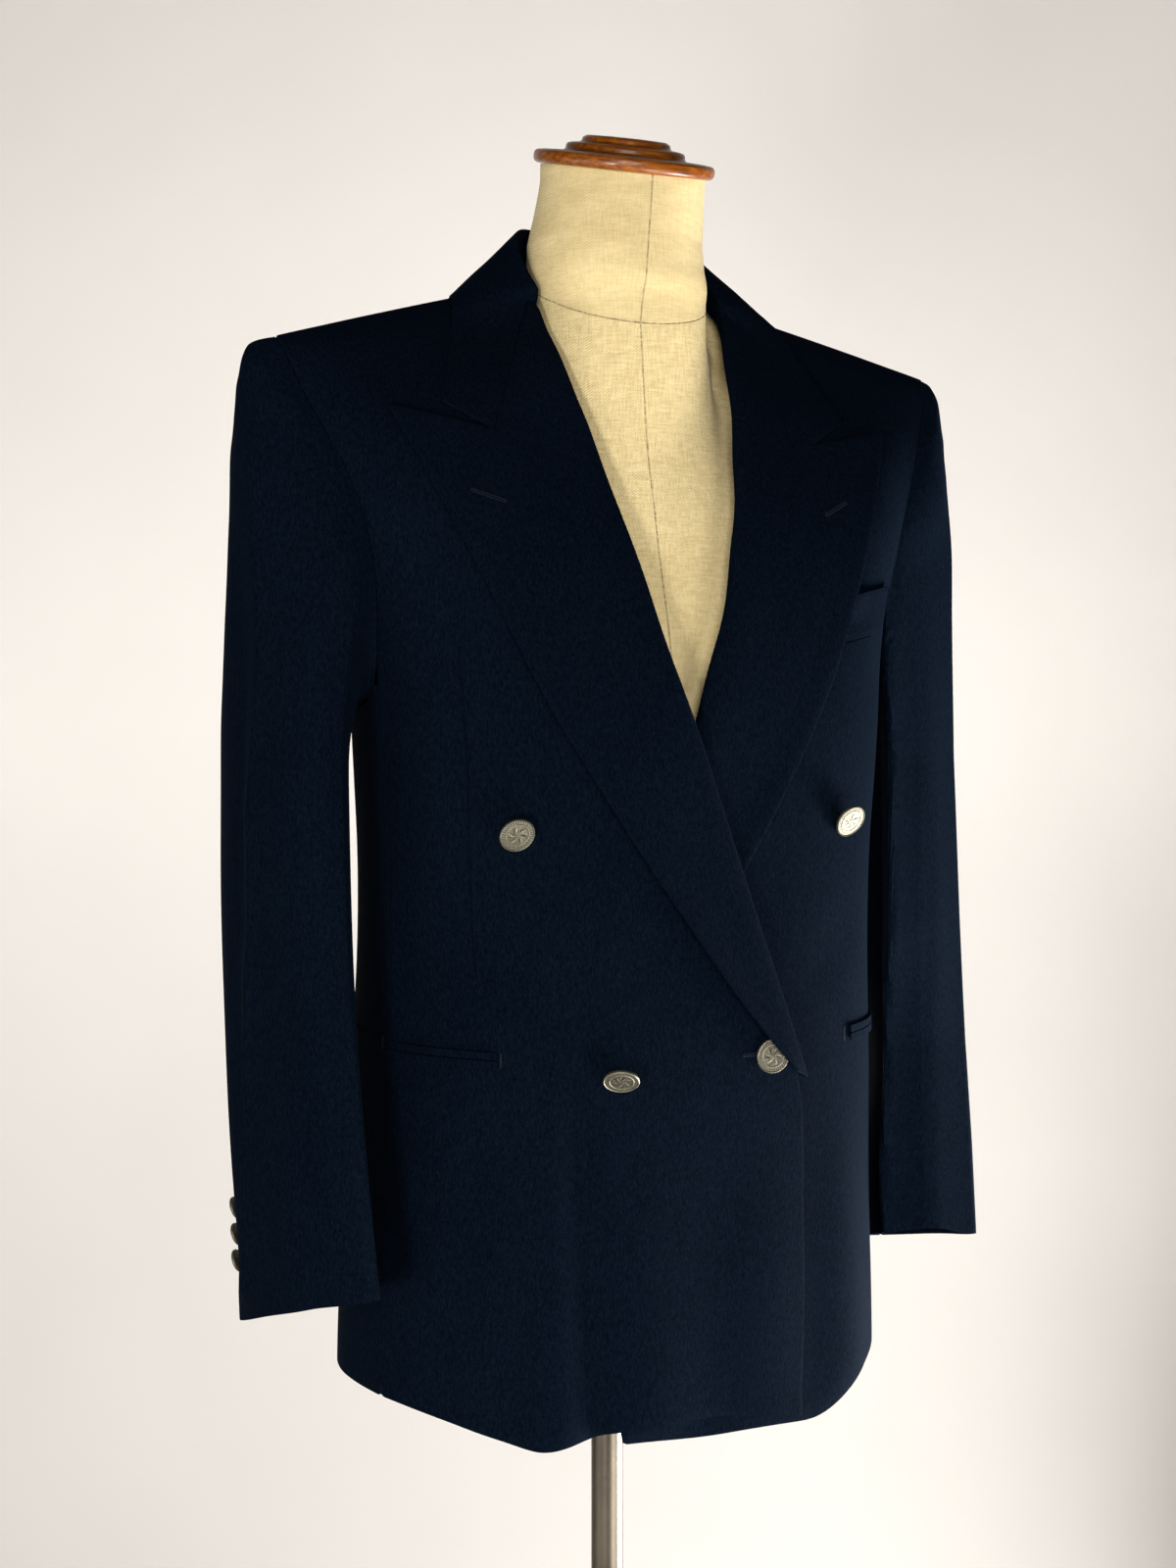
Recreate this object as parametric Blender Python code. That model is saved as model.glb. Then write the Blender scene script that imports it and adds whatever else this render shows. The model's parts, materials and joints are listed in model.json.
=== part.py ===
"""Double breasted blazer on a limbless tailor's dress form.

Metres, +Z up. The garment faces -Y and the wearer's left is +X. The origin is
the middle of the stand's underside, and the pole stands on the Z axis.

The cloth is built from one surface, body_point(turn, height): a ring at each
height, a half superellipse in front and another behind, which close up to the
shoulder line. Every panel is a stretch of that surface with a wall thickness,
and what lies on a panel is the same stretch moved out along its normal.
"""
import math

import bmesh
import bpy
import numpy as np
from mathutils import Matrix, Vector

# ---------------------------------------------------------------- sizes
WALL = 0.0020            # body cloth
THIN_WALL = 0.0016       # lapels, collar and the fronts where they stack
PATCH_WALL = 0.0012      # pocket jets and welt
PATCH_GAP = 0.0006
SEAM = 0.0003            # gap between two pieces at a seam
LAY = 0.00035            # gap between two layers that lie on each other
DRAPE = 0.0015           # gap under a lapel or the collar's fall
TUCK = 0.0019            # gap between a front and the lapel's turned-in leg

ARMHOLE_FOOT = 1.252     # height where the side seams meet the armhole
ARMPIT = 1.236           # lowest point of the armhole
TIP_X = 0.2435           # shoulder seam meets the sleeve
NECK_X = 0.0700          # shoulder seam meets the collar
BREAK_HEIGHT = 0.990     # the lapel starts to roll here
FRONT_EDGE_X = 0.0820    # overlap past the centre line
UNDER_HEM_X = 0.0520     # the under front swings back towards its own side
FOLD_REACH = 0.0046      # a front ends this far inside the fold of its lapel
SKIRT_STACK = 0.0044     # the over front stands out this far where it laps over
CHEST_STACK = 0.0113     # and this far where both lapels' folds are stacked too
FORM_FOOT = 0.865        # underside of the linen form
NECK_RADIUS = 0.0566
NECK_Y = -0.0200
NECK_TOP = 1.597
CAP_TILT = math.radians(11.5)
POLE_RADIUS = 0.011
BASE_RADIUS = 0.190
BUTTON_RADIUS = 0.0115
CUFF_BUTTON_RADIUS = 0.0075

# Rings of the body: widest half width, middle of the ring, and how square
# its front and back halves are.
RING_COLUMNS = ("height", "half_width", "centre_y", "front_power", "back_power")
RINGS = (
    (0.740, 0.1888, 0.0020, 2.6, 2.3),
    (0.810, 0.1885, 0.0020, 2.6, 2.3),
    (0.910, 0.1847, 0.0015, 2.7, 2.3),
    (1.000, 0.1813, -0.0038, 2.8, 2.3),
    (1.064, 0.1783, -0.0100, 2.8, 2.3),
    (1.127, 0.1781, -0.0138, 2.8, 2.3),
    (1.212, 0.1833, -0.0160, 2.8, 2.4),
    (1.265, 0.1885, -0.0182, 2.8, 2.4),
    (1.307, 0.1965, -0.0190, 2.8, 2.5),
    (1.371, 0.2170, -0.0190, 2.8, 2.7),
    (1.424, 0.2415, -0.0190, 2.8, 3.0),
    (1.466, 0.2545, -0.0190, 2.8, 3.2),
    (1.530, 0.2650, -0.0190, 2.8, 3.4),
)
# How far the front and the back stand from the middle of the ring. Near the
# shoulders the height is read below the shoulder line, not above the floor.
DEPTH_COLUMNS = ("height", "front", "back")
DEPTHS = (
    (0.740, 0.1295, 0.1200),
    (0.910, 0.1270, 0.1165),
    (1.000, 0.1192, 0.1115),
    (1.064, 0.1108, 0.1055),
    (1.127, 0.1060, 0.1035),
    (1.212, 0.1045, 0.1085),
    (1.265, 0.0965, 0.1150),
    (1.307, 0.0930, 0.1110),
    (1.371, 0.0860, 0.0970),
    (1.4208, 0.0710, 0.0830),
    (1.4478, 0.0588, 0.0680),
    (1.4653, 0.0461, 0.0560),
    (1.4839, 0.0318, 0.0400),
    (1.4987, 0.0223, 0.0260),
    (1.5088, 0.0138, 0.0150),
    (1.5140, 0.0070, 0.0080),
    (1.5162, 0.0, 0.0),
)
SHOULDER_REF = 1.5162    # height of the shoulder line at the neck
BACK_NECK_HEIGHT = 1.5236        # neck seam at the centre back
SHOULDER_COLUMNS = ("x", "height", "y")
SHOULDER = (
    (0.000, 1.5268, 0.0100),
    (0.064, 1.5178, 0.0060),
    (0.1166, 1.5040, -0.0010),
    (0.1696, 1.4887, -0.0095),
    (0.212, 1.4772, -0.0155),
    (0.2435, 1.4690, -0.0190),
    (0.270, 1.4610, -0.0190),
)
# The armhole, as the turn of the ring at which the panel stops.
ARMHOLE_COLUMNS = ("height", "front_turn", "back_turn")
ARMHOLE = (
    (1.252, 81.5, 81.0),
    (1.285, 76.0, 74.5),
    (1.3074, 73.5, 71.0),
    (1.340, 68.8, 66.0),
    (1.3646, 66.6, 64.0),
    (1.398, 66.4, 64.5),
    (1.426, 67.4, 66.0),
    (1.455, 68.6, 67.5),
)
SIDE_SEAM_COLUMNS = ("height", "front_turn", "back_turn")
SIDE_SEAMS = (
    (0.740, 76.0, 74.0),
    (1.000, 76.5, 74.0),
    (1.130, 77.5, 75.0),
    (1.200, 79.3, 78.0),
    (1.252, 81.5, 81.0),
)
# The fold edge of the lapel on the front that laps over: x against height.
ROLL_COLUMNS = ("height", "x")
ROLL_LINE = (
    (0.984, 0.0820),
    (1.0127, 0.0735),
    (1.0594, 0.0560),
    (1.1261, 0.0330),
    (1.2152, 0.0000),
    (1.3074, -0.0270),
    (1.3699, -0.0425),
    (1.4208, -0.0535),
    (1.4643, -0.0612),
    (1.5035, -0.0655),
    (1.5180, -0.0680),
)
GORGE_TOP = 1.500        # the lapel's seam reaches the fold edge here
NOTCH = (0.1177, 1.4108)         # x and height
PEAK = (0.1825, 1.4235)
# Free edge of the lapel from the break up to the peak.
LAPEL_EDGE_COLUMNS = ("height", "x")
LAPEL_EDGE = (
    (1.0010, -0.0625),
    (1.0055, -0.0570),
    (1.0131, -0.0481),
    (1.0226, -0.0393),
    (1.0396, -0.0267),
    (1.0572, -0.0150),
    (1.0880, 0.0060),
    (1.1225, 0.0307),
    (1.1553, 0.0530),
    (1.1887, 0.0715),
    (1.2232, 0.0930),
    (1.2820, 0.1192),
    (1.3127, 0.1330),
    (1.3694, 0.1590),
    (1.4039, 0.1738),
    (1.4235, 0.1825),
)

FINISH_COLUMNS = ("name", "red", "green", "blue", "roughness", "metallic")
FINISHES = (
    ("navy_wool", 0.012, 0.017, 0.030, 0.90, 0.0),
    ("natural_linen", 0.620, 0.500, 0.320, 0.90, 0.0),
    ("varnished_wood", 0.160, 0.045, 0.018, 0.30, 0.0),
    ("brushed_steel", 0.450, 0.440, 0.420, 0.35, 1.0),
    ("aged_silver", 0.320, 0.300, 0.270, 0.40, 1.0),
)

LOWER_ROWS = 9
UPPER_ROWS = 8
FRONT_STEPS = 13
BACK_STEPS = 7
SIDE_STEPS = 4
LAPEL_ROWS = 9
GORGE_ROWS = 4


# ---------------------------------------------------------------- helpers
def column(rows, names, name):
    place = names.index(name)
    return [row[place] for row in rows]


def smooth_read(rows, names, name, at):
    """Read a column at any value of the first one, on a monotone cubic."""
    keys = [row[0] for row in rows]
    values = column(rows, names, name)
    if at <= keys[0]:
        return values[0]
    if at >= keys[-1]:
        return values[-1]
    i = max(k for k in range(len(keys) - 1) if keys[k] <= at)
    slopes = [(values[k + 1] - values[k]) / (keys[k + 1] - keys[k])
              for k in range(len(keys) - 1)]

    def tangent(k):
        if k == 0:
            return slopes[0]
        if k == len(keys) - 1:
            return slopes[-1]
        before, after = slopes[k - 1], slopes[k]
        if before * after <= 0:
            return 0.0
        return 2 * before * after / (before + after)

    width = keys[i + 1] - keys[i]
    t = (at - keys[i]) / width
    h0 = 2 * t ** 3 - 3 * t ** 2 + 1
    h1 = t ** 3 - 2 * t ** 2 + t
    h2 = -2 * t ** 3 + 3 * t ** 2
    h3 = t ** 3 - t ** 2
    return (h0 * values[i] + h1 * width * tangent(i)
            + h2 * values[i + 1] + h3 * width * tangent(i + 1))


def ease(low, high, value):
    t = min(max((value - low) / (high - low), 0.0), 1.0)
    return t * t * (3 - 2 * t)


def mix(a, b, t):
    return a + (b - a) * t


def signed_power(value, power):
    return math.copysign(abs(value) ** power, value)


def unit(vector):
    return vector / np.linalg.norm(vector)


# ---------------------------------------------------------------- the body surface
def shoulder_height(x):
    return smooth_read(SHOULDER, SHOULDER_COLUMNS, "height", abs(x))


def shoulder_share(height):
    """0 at the chest and below, 1 where the shoulders are."""
    return ease(1.265, 1.445, height)


def ring(height, back):
    power = "back_power" if back else "front_power"
    return (smooth_read(RINGS, RING_COLUMNS, "half_width", height),
            smooth_read(RINGS, RING_COLUMNS, "centre_y", height),
            smooth_read(RINGS, RING_COLUMNS, power, height))


def ring_depth(x, height, back):
    share = shoulder_share(height)
    read_at = height + (SHOULDER_REF - shoulder_height(x)) * share
    name = "back" if back else "front"
    return smooth_read(DEPTHS, DEPTH_COLUMNS, name, read_at)


def ring_centre(x, height):
    share = shoulder_share(height)
    low = smooth_read(RINGS, RING_COLUMNS, "centre_y", height)
    high = smooth_read(SHOULDER, SHOULDER_COLUMNS, "y", abs(x))
    return mix(low, high, share)


def body_point(turn, height):
    """turn: 0 centre front, +90 degrees wearer's left side, 180 centre back."""
    back = abs(turn) > math.pi / 2
    half_width, _, power = ring(height, back)
    x = half_width * signed_power(math.sin(turn), 2 / power)
    deep = ring_depth(x, height, back) * abs(math.cos(turn)) ** (2 / power)
    centre = ring_centre(x, height)
    if back:
        below = BACK_NECK_HEIGHT - height
        neck = 0.0655 + 0.62 * below - 1.6 * below * below
        neck_deep = math.sqrt(max(neck * neck - x * x, 0.0)) - (centre - NECK_Y)
        neck_deep = max(neck_deep, 0.0) * ease(1.40, 1.47, height)
        deep = (deep ** 6 + neck_deep ** 6) ** (1 / 6)
        return np.array((x, centre + deep, height))
    return np.array((x, centre - deep, height))


def body_normal(turn, height):
    step = 0.004
    low, high = turn - step, turn + step
    limit = math.pi / 2
    for side in (-1, 1):
        if low < side * limit < high:
            low, high = side * limit - step, side * limit + step
    down = 0.0004
    across = body_point(high, height) - body_point(low, height)
    rise = body_point(turn, height) - body_point(turn, height - down)
    return unit(np.cross(across, rise))


def turn_at_x(x, height, back=False):
    half_width, _, power = ring(height, back)
    share = min(abs(x) / half_width, 1.0) ** (power / 2)
    turn = math.copysign(math.asin(share), x)
    return math.copysign(math.pi, x) - turn if back else turn


# ---------------------------------------------------------------- edges of the pieces
def hem_height(x, back):
    """Both fronts hang lowest near the closure and rise to the side."""
    if back:
        return mix(0.790, 0.797, ease(0.05, 0.17, abs(x)))
    side = ease(0.105, 0.185, abs(x))
    if x < 0:
        centre = 0.7790 - 0.0085 * math.exp(-((x + 0.104) / 0.022) ** 2)
        return mix(centre, 0.797, side)
    return mix(0.7650, 0.797, ease(0.085, 0.185, x))


def over_hem_height(x):
    """The front that laps over is a little shorter than the one beneath."""
    return mix(0.7790, 0.7700, ease(0.0, 0.082, x)) if x > 0 else hem_height(x, False)


def under_hem_height(x):
    return 0.7690 - 0.0040 * ease(-0.05, 0.02, x) if x < 0 else hem_height(x, False)


def row_height(row, x, back, hem=None):
    """Height of a row of the body grid, from the hem to the shoulder line."""
    if row <= LOWER_ROWS:
        low = hem_height(x, back) if hem is None else hem(x)
        return mix(low, ARMHOLE_FOOT, row / LOWER_ROWS)
    t = (row - LOWER_ROWS) / UPPER_ROWS
    top = shoulder_height(x)
    if back:
        top = min(top, neck_seam_height(x))
    return mix(ARMHOLE_FOOT, top, 1 - (1 - t) ** 1.45)


def neck_seam_height(x):
    return mix(BACK_NECK_HEIGHT, 1.5165, ease(0.0, NECK_X, abs(x)))


def roll_x(height):
    """Fold edge of the front that laps over, as x on the wearer's right."""
    return smooth_read(ROLL_LINE, ROLL_COLUMNS, "x", height)


def under_edge_x(height):
    """Edge of the front that lies under, which swings back at the hem."""
    if height >= BREAK_HEIGHT:
        return -roll_x(height)
    return -mix(UNDER_HEM_X, FRONT_EDGE_X, ease(0.74, BREAK_HEIGHT, height))


def over_edge_x(height):
    if height >= BREAK_HEIGHT:
        return roll_x(height)
    return FRONT_EDGE_X - 0.004 * (1 - ease(0.760, 0.790, height))


def over_lift(x, height):
    """How far the front that laps over stands out from the body surface."""
    past = x - under_edge_x(height)
    layers = ease(-0.130, -0.008, past)
    full = mix(SKIRT_STACK, CHEST_STACK, ease(0.93, 1.00, height))
    return full * layers


def skirt_fold(x, height):
    """Long soft folds that drop from the hip to the hem."""
    fade = 1 - ease(0.790, 1.030, height)
    ridge = 0.0085 * math.exp(-((x + 0.104) / 0.015) ** 2)
    trough = 0.0030 * math.exp(-((x + 0.130) / 0.012) ** 2)
    side = 0.0060 * math.exp(-((x - 0.128) / 0.020) ** 2)
    return fade * (ridge - trough + side)


def front_lift(hand, x, height):
    fold = skirt_fold(x, height)
    if hand < 0:
        return over_lift(x, height) + fold
    return fold * ease(0.02, 0.09, x)


# ---------------------------------------------------------------- solids from sheets
def wipe_scene():
    for item in list(bpy.data.objects):
        bpy.data.objects.remove(item, do_unlink=True)


def node_material(name, finish):
    """Each node has a material of its own, in one of the finishes."""
    _, red, green, blue, roughness, metallic = next(row for row in FINISHES if row[0] == finish)
    material = bpy.data.materials.new(f"{name}_{finish}")
    material.use_nodes = True
    shader = material.node_tree.nodes["Principled BSDF"]
    shader.inputs["Base Color"].default_value = (red, green, blue, 1.0)
    shader.inputs["Roughness"].default_value = roughness
    shader.inputs["Metallic"].default_value = metallic
    material.diffuse_color = (red, green, blue, 1.0)
    return material


def add_node(name, points, faces, finish):
    mesh = bpy.data.meshes.new(name)
    mesh.from_pydata([tuple(map(float, p)) for p in points], [], faces)
    shape = bmesh.new()
    shape.from_mesh(mesh)
    bmesh.ops.recalc_face_normals(shape, faces=shape.faces)
    bmesh.ops.triangulate(shape, faces=shape.faces)
    shape.to_mesh(mesh)
    shape.free()
    mesh.shade_smooth()
    mesh.set_sharp_from_angle(angle=math.radians(40))
    item = bpy.data.objects.new(name, mesh)
    item.data.materials.append(node_material(name, finish))
    bpy.context.collection.objects.link(item)
    return item


def wall_solid(name, outer, inner, cells, finish):
    """A closed wall: outer skin, inner skin and a rim along every free edge."""
    used = sorted({corner for cell in cells for corner in cell})
    place = {corner: k for k, corner in enumerate(used)}
    count = len(used)
    points = [outer[corner] for corner in used] + [inner[corner] for corner in used]
    faces = []
    edges = {}
    for cell in cells:
        loop = [place[corner] for corner in cell]
        faces.append(tuple(loop))
        faces.append(tuple(k + count for k in reversed(loop)))
        for a, b in zip(loop, loop[1:] + loop[:1]):
            edges[(a, b)] = edges.get((a, b), 0) + 1
    for a, b in edges:
        if (b, a) not in edges:
            faces.append((b, a, a + count, b + count))
    return add_node(name, points, faces, finish)


def grid_cells(rows, columns, closed=False):
    cells = []
    for i in range(rows - 1):
        for j in range(columns if closed else columns - 1):
            k = (j + 1) % columns
            cells.append(((i, j), (i, k), (i + 1, k), (i + 1, j)))
    return cells


def turned_solid(name, profile, segments, finish, place=None):
    """A turned piece: profile is (radius, height) from bottom to top."""
    points = []
    faces = []
    for radius, height in profile:
        for k in range(segments):
            angle = 2 * math.pi * k / segments
            points.append((radius * math.cos(angle), radius * math.sin(angle), height))
    for i in range(len(profile) - 1):
        for k in range(segments):
            m = (k + 1) % segments
            a, b = i * segments, (i + 1) * segments
            faces.append((a + k, a + m, b + m, b + k))
    faces.append(tuple(reversed(range(segments))))
    last = (len(profile) - 1) * segments
    faces.append(tuple(range(last, last + segments)))
    if place is not None:
        points = [tuple(place @ Vector(p)) for p in points]
    return add_node(name, points, faces, finish)


# ---------------------------------------------------------------- body panels
def place_on_row(turn, row, back, hem=None):
    """Settle the height of a row at this turn, which depends on x."""
    height = ARMHOLE_FOOT
    for _ in range(6):
        x = body_point(turn, height)[0]
        height = row_height(row, x, back, hem)
    return turn, height


def row_places(row, first_turn, last_turn, steps, back, hem=None):
    """Even steps along a row, half a seam in from each end."""
    dense = 60
    places = [place_on_row(mix(first_turn, last_turn, k / dense), row, back, hem)
              for k in range(dense + 1)]
    points = [body_point(*place) for place in places]
    run = [0.0]
    for a, b in zip(points, points[1:]):
        run.append(run[-1] + np.linalg.norm(b - a))
    inset = SEAM / 2 + 0.00005
    marks = [mix(inset, run[-1] - inset, k / steps) for k in range(steps + 1)]
    result = []
    for mark in marks:
        turn = float(np.interp(mark, run, [place[0] for place in places]))
        result.append(place_on_row(turn, row, back, hem))
    return result


def armhole_turn(row, back):
    """Turn at which this row meets the armhole, measured from the front."""
    name = "back_turn" if back else "front_turn"
    if row == LOWER_ROWS + UPPER_ROWS:
        return abs(turn_at_x(TIP_X, shoulder_height(TIP_X), back))
    height = ARMHOLE_FOOT
    for _ in range(8):
        share = math.radians(smooth_read(ARMHOLE, ARMHOLE_COLUMNS, name, height))
        turn = math.pi - share if back else share
        height = row_height(row, body_point(turn, height)[0], back)
    return turn


def side_seam_turn(row, back):
    if row >= LOWER_ROWS:
        return armhole_turn(row, back)
    name = "back_turn" if back else "front_turn"
    height = mix(0.797, ARMHOLE_FOOT, row / LOWER_ROWS)
    share = math.radians(smooth_read(SIDE_SEAMS, SIDE_SEAM_COLUMNS, name, height))
    return math.pi - share if back else share


def mirror(point, hand):
    return np.array((point[0] * hand, point[1], point[2]))


def front_inner_turn(hand, row, hem):
    """The edge of a front: centre edge, then the fold line, then the neck."""
    height = row_height(row, 0.0, False, hem)
    for _ in range(8):
        if hand < 0:
            x = -over_edge_x(height)
        else:
            x = under_edge_x(height)
        if height > BREAK_HEIGHT - 0.010:
            x += FOLD_REACH
        if row == LOWER_ROWS + UPPER_ROWS:
            x = NECK_X
        height = row_height(row, x, False, hem)
    return turn_at_x(x, height)


def panel_sheet(places_by_row, lift):
    """Outer and inner points of a panel, with its lift over the body surface."""
    outer, inner = {}, {}
    for i, places in enumerate(places_by_row):
        for j, (turn, height) in enumerate(places):
            point = body_point(turn, height)
            normal = body_normal(turn, height)
            raised = point + normal * lift(point[0], height)
            outer[i, j] = raised
            inner[i, j] = raised - normal * WALL
    return outer, inner


def settle_shoulder_seam(outer, inner, row, columns, side):
    """Part the two panels at the shoulder seam, with the wall hung straight down."""
    for j in columns:
        outer[row, j] = outer[row, j] + np.array((0.0, side * SEAM * 0.6, 0.0))
        inner[row, j] = outer[row, j] - np.array((0.0, 0.0, WALL))


def mirror_sheet(sheet, hand):
    return {key: mirror(point, hand) for key, point in sheet.items()}


def build_front(hand, finish):
    rows = LOWER_ROWS + UPPER_ROWS

    def hem(x):
        return over_hem_height(-x) if hand < 0 else under_hem_height(x)

    def lift(x, height):
        return front_lift(hand, x * hand, height)

    places = [row_places(row, front_inner_turn(hand, row, hem), side_seam_turn(row, False),
                         FRONT_STEPS, False, hem) for row in range(rows + 1)]
    outer, inner = panel_sheet(places, lift)
    settle_shoulder_seam(outer, inner, rows, range(FRONT_STEPS + 1), -1)
    name = "front_left" if hand > 0 else "front_right"
    cells = grid_cells(rows + 1, FRONT_STEPS + 1)
    return wall_solid(name, mirror_sheet(outer, hand), mirror_sheet(inner, hand), cells, finish)


def build_back(hand, finish):
    rows = LOWER_ROWS + UPPER_ROWS
    places = [row_places(row, side_seam_turn(row, True), math.pi, BACK_STEPS, True)
              for row in range(rows + 1)]
    outer, inner = panel_sheet(places, lambda x, height: 0.0)
    shoulder = [j for j in range(BACK_STEPS + 1) if outer[rows, j][0] > NECK_X - 0.004]
    settle_shoulder_seam(outer, inner, rows, shoulder, 1)
    name = "back_left" if hand > 0 else "back_right"
    cells = grid_cells(rows + 1, BACK_STEPS + 1)
    return wall_solid(name, mirror_sheet(outer, hand), mirror_sheet(inner, hand), cells, finish)


def build_side(hand, finish):
    places = []
    for row in range(LOWER_ROWS + 1):
        start = side_seam_turn(row, False)
        end = side_seam_turn(row, True)
        line = row_places(row, start, end, SIDE_STEPS, False)
        dip = (ARMHOLE_FOOT - ARMPIT) * ease(0, LOWER_ROWS, row)
        settled = []
        for j, (turn, height) in enumerate(line):
            bow = math.sin(math.pi * j / SIDE_STEPS)
            settled.append((turn, height - dip * bow))
        places.append(settled)
    outer, inner = panel_sheet(places, lambda x, height: 0.0)
    name = "side_left" if hand > 0 else "side_right"
    cells = grid_cells(LOWER_ROWS + 1, SIDE_STEPS + 1)
    return wall_solid(name, mirror_sheet(outer, hand), mirror_sheet(inner, hand), cells, finish)


# ---------------------------------------------------------------- lapels
LAPEL_FOOT = 0.994       # fold edge height of the lowest lapel row
LAPEL_SHOULDER = 1.4150  # fold edge height level with the notch
STRIP_WIDTH = 0.0075     # the lapel above the notch narrows to this
LAPEL_INNER_LEG = 0.0035
# Share of the lapel's width at each column; NOTCH_COLUMN meets the notch.
LAPEL_SHARES = (0.07, 0.2, 0.36, 0.52, 0.76, 1.0)
NOTCH_COLUMN = 3
HOOK_COLUMNS = 5
NOTCH_BLEND = 3          # rows over which the lapel bends to pass the notch


def gorge_point(t):
    """The seam between lapel and collar, from the notch to the fold edge."""
    top = np.array((-roll_x(GORGE_TOP) + STRIP_WIDTH, GORGE_TOP))
    return mix(np.array(NOTCH), top, t)


def lapel_row_line(row):
    """Fold point, end point and both bends of a lapel row, as (x, height)."""
    if row <= LAPEL_ROWS:
        t = row / LAPEL_ROWS
        fold_height = mix(LAPEL_FOOT, LAPEL_SHOULDER, t)
        edge_height = mix(LAPEL_EDGE[0][0], PEAK[1], t)
        edge_x = smooth_read(LAPEL_EDGE, LAPEL_EDGE_COLUMNS, "x", edge_height)
        end = np.array((edge_x, edge_height))
    else:
        t = (row - LAPEL_ROWS) / GORGE_ROWS
        fold_height = mix(LAPEL_SHOULDER, GORGE_TOP, t)
        end = gorge_point(t)
    return np.array((-roll_x(fold_height), fold_height)), end


def surface_frame(x, height, back=False):
    turn = turn_at_x(x, height, back)
    return body_point(turn, height), body_normal(turn, height)


def lapel_lift(hand, x, height):
    return front_lift(hand, x * hand, height)


def soft_roll(run):
    """The lapel stands off the front beside its fold."""
    return 0.0016 * (1 - ease(0.004, 0.032, run))


def edge_lift(hand, share, height):
    """The free edge lifts off the front, and clears the welt on the left."""
    if hand < 0:
        return 0.0062 * share ** 1.3 * (1 - ease(1.05, 1.30, height))
    welt = ease(1.225, 1.250, height) * (1 - ease(1.330, 1.360, height))
    return 0.0022 * ease(0.25, 0.6, share) * welt


def lapel_heart():
    """From the fold edge to the middle of its curl."""
    return (2 * THIN_WALL + WALL + TUCK + DRAPE + soft_roll(0.0)) / 2


def lapel_mid(hand):
    """Middle surface of a lapel: its turned-in leg, its fold and its face."""
    leg_depth = -(WALL + TUCK + THIN_WALL / 2)
    face_depth = DRAPE + THIN_WALL / 2
    mid = {}
    for row in range(LAPEL_ROWS + GORGE_ROWS + 1):
        fold, end = lapel_row_line(row)
        width = np.linalg.norm(end - fold)
        along = (end - fold) / width
        rise = face_depth + soft_roll(0.0)
        radius = (rise - leg_depth) / 2
        heart = lapel_heart()
        middle = (rise + leg_depth) / 2
        path = [(heart + LAPEL_INNER_LEG, leg_depth, 0.0), (heart, leg_depth, 0.0)]
        for angle in (-135, -180, -225):
            turn = math.radians(angle)
            path.append((heart + radius * math.cos(turn), middle - radius * math.sin(-turn), 0.0))
        shares = LAPEL_SHARES
        if row > LAPEL_ROWS:
            shares = [s / LAPEL_SHARES[NOTCH_COLUMN] for s in LAPEL_SHARES[:NOTCH_COLUMN + 1]]
        for share in shares:
            run = mix(heart, width, share)
            lift = edge_lift(hand, share, fold[1]) if row <= LAPEL_ROWS else 0.0
            path.append((run, face_depth + soft_roll(run - heart) + lift, share))
        start = fold + along * heart
        dip = np.array(NOTCH) - mix(start, end, LAPEL_SHARES[NOTCH_COLUMN])
        for j, (run, depth, share) in enumerate(path):
            spot = fold + along * run
            if LAPEL_ROWS - NOTCH_BLEND < row <= LAPEL_ROWS:
                spot = spot + dip * notch_bend(share) * notch_fade(row)
            point, normal = surface_frame(spot[0], spot[1])
            base = lapel_lift(hand, spot[0], spot[1])
            mid[row, j] = point + normal * (base + depth)
    return mid


def notch_fade(row):
    return ((row - (LAPEL_ROWS - NOTCH_BLEND)) / NOTCH_BLEND) ** 2


def notch_bend(share):
    """The top rows bend at the notch: 0 at both ends, 1 at the notch."""
    notch_share = LAPEL_SHARES[NOTCH_COLUMN]
    if share <= notch_share:
        return share / notch_share
    return (1 - share) / (1 - notch_share)


def skins(mid, thickness, columns, flip=1.0):
    """Both skins of a sheet, half its thickness to each side of its middle."""
    outer, inner = {}, {}
    for (i, j), point in mid.items():
        up = mid.get((i + 1, j), point) - mid.get((i - 1, j), point)
        if columns:
            left, right = (j - 1) % columns, (j + 1) % columns
        else:
            left, right = j - 1, j + 1
        across = mid.get((i, right), point) - mid.get((i, left), point)
        normal = unit(np.cross(across, up)) * flip
        outer[i, j] = point + normal * thickness / 2
        inner[i, j] = point - normal * thickness / 2
    return outer, inner


def build_lapel(hand, finish):
    mid = lapel_mid(hand)
    outer, inner = skins(mid, THIN_WALL, 0)
    last = HOOK_COLUMNS + len(LAPEL_SHARES)
    narrow = HOOK_COLUMNS + NOTCH_COLUMN + 1
    cells = grid_cells(LAPEL_ROWS + 1, last)
    cells += [tuple((i + LAPEL_ROWS, j) for i, j in cell)
              for cell in grid_cells(GORGE_ROWS + 1, narrow)]
    name = "lapel_left" if hand > 0 else "lapel_right"
    return wall_solid(name, mirror_sheet(outer, hand), mirror_sheet(inner, hand), cells, finish)


# ---------------------------------------------------------------- collar
COLLAR_COLUMNS = 10
COLLAR_GORGE_COLUMN = 4  # the collar's face starts here
GORGE_GAP = 0.0006       # the collar is set off the lapel across and up
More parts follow.
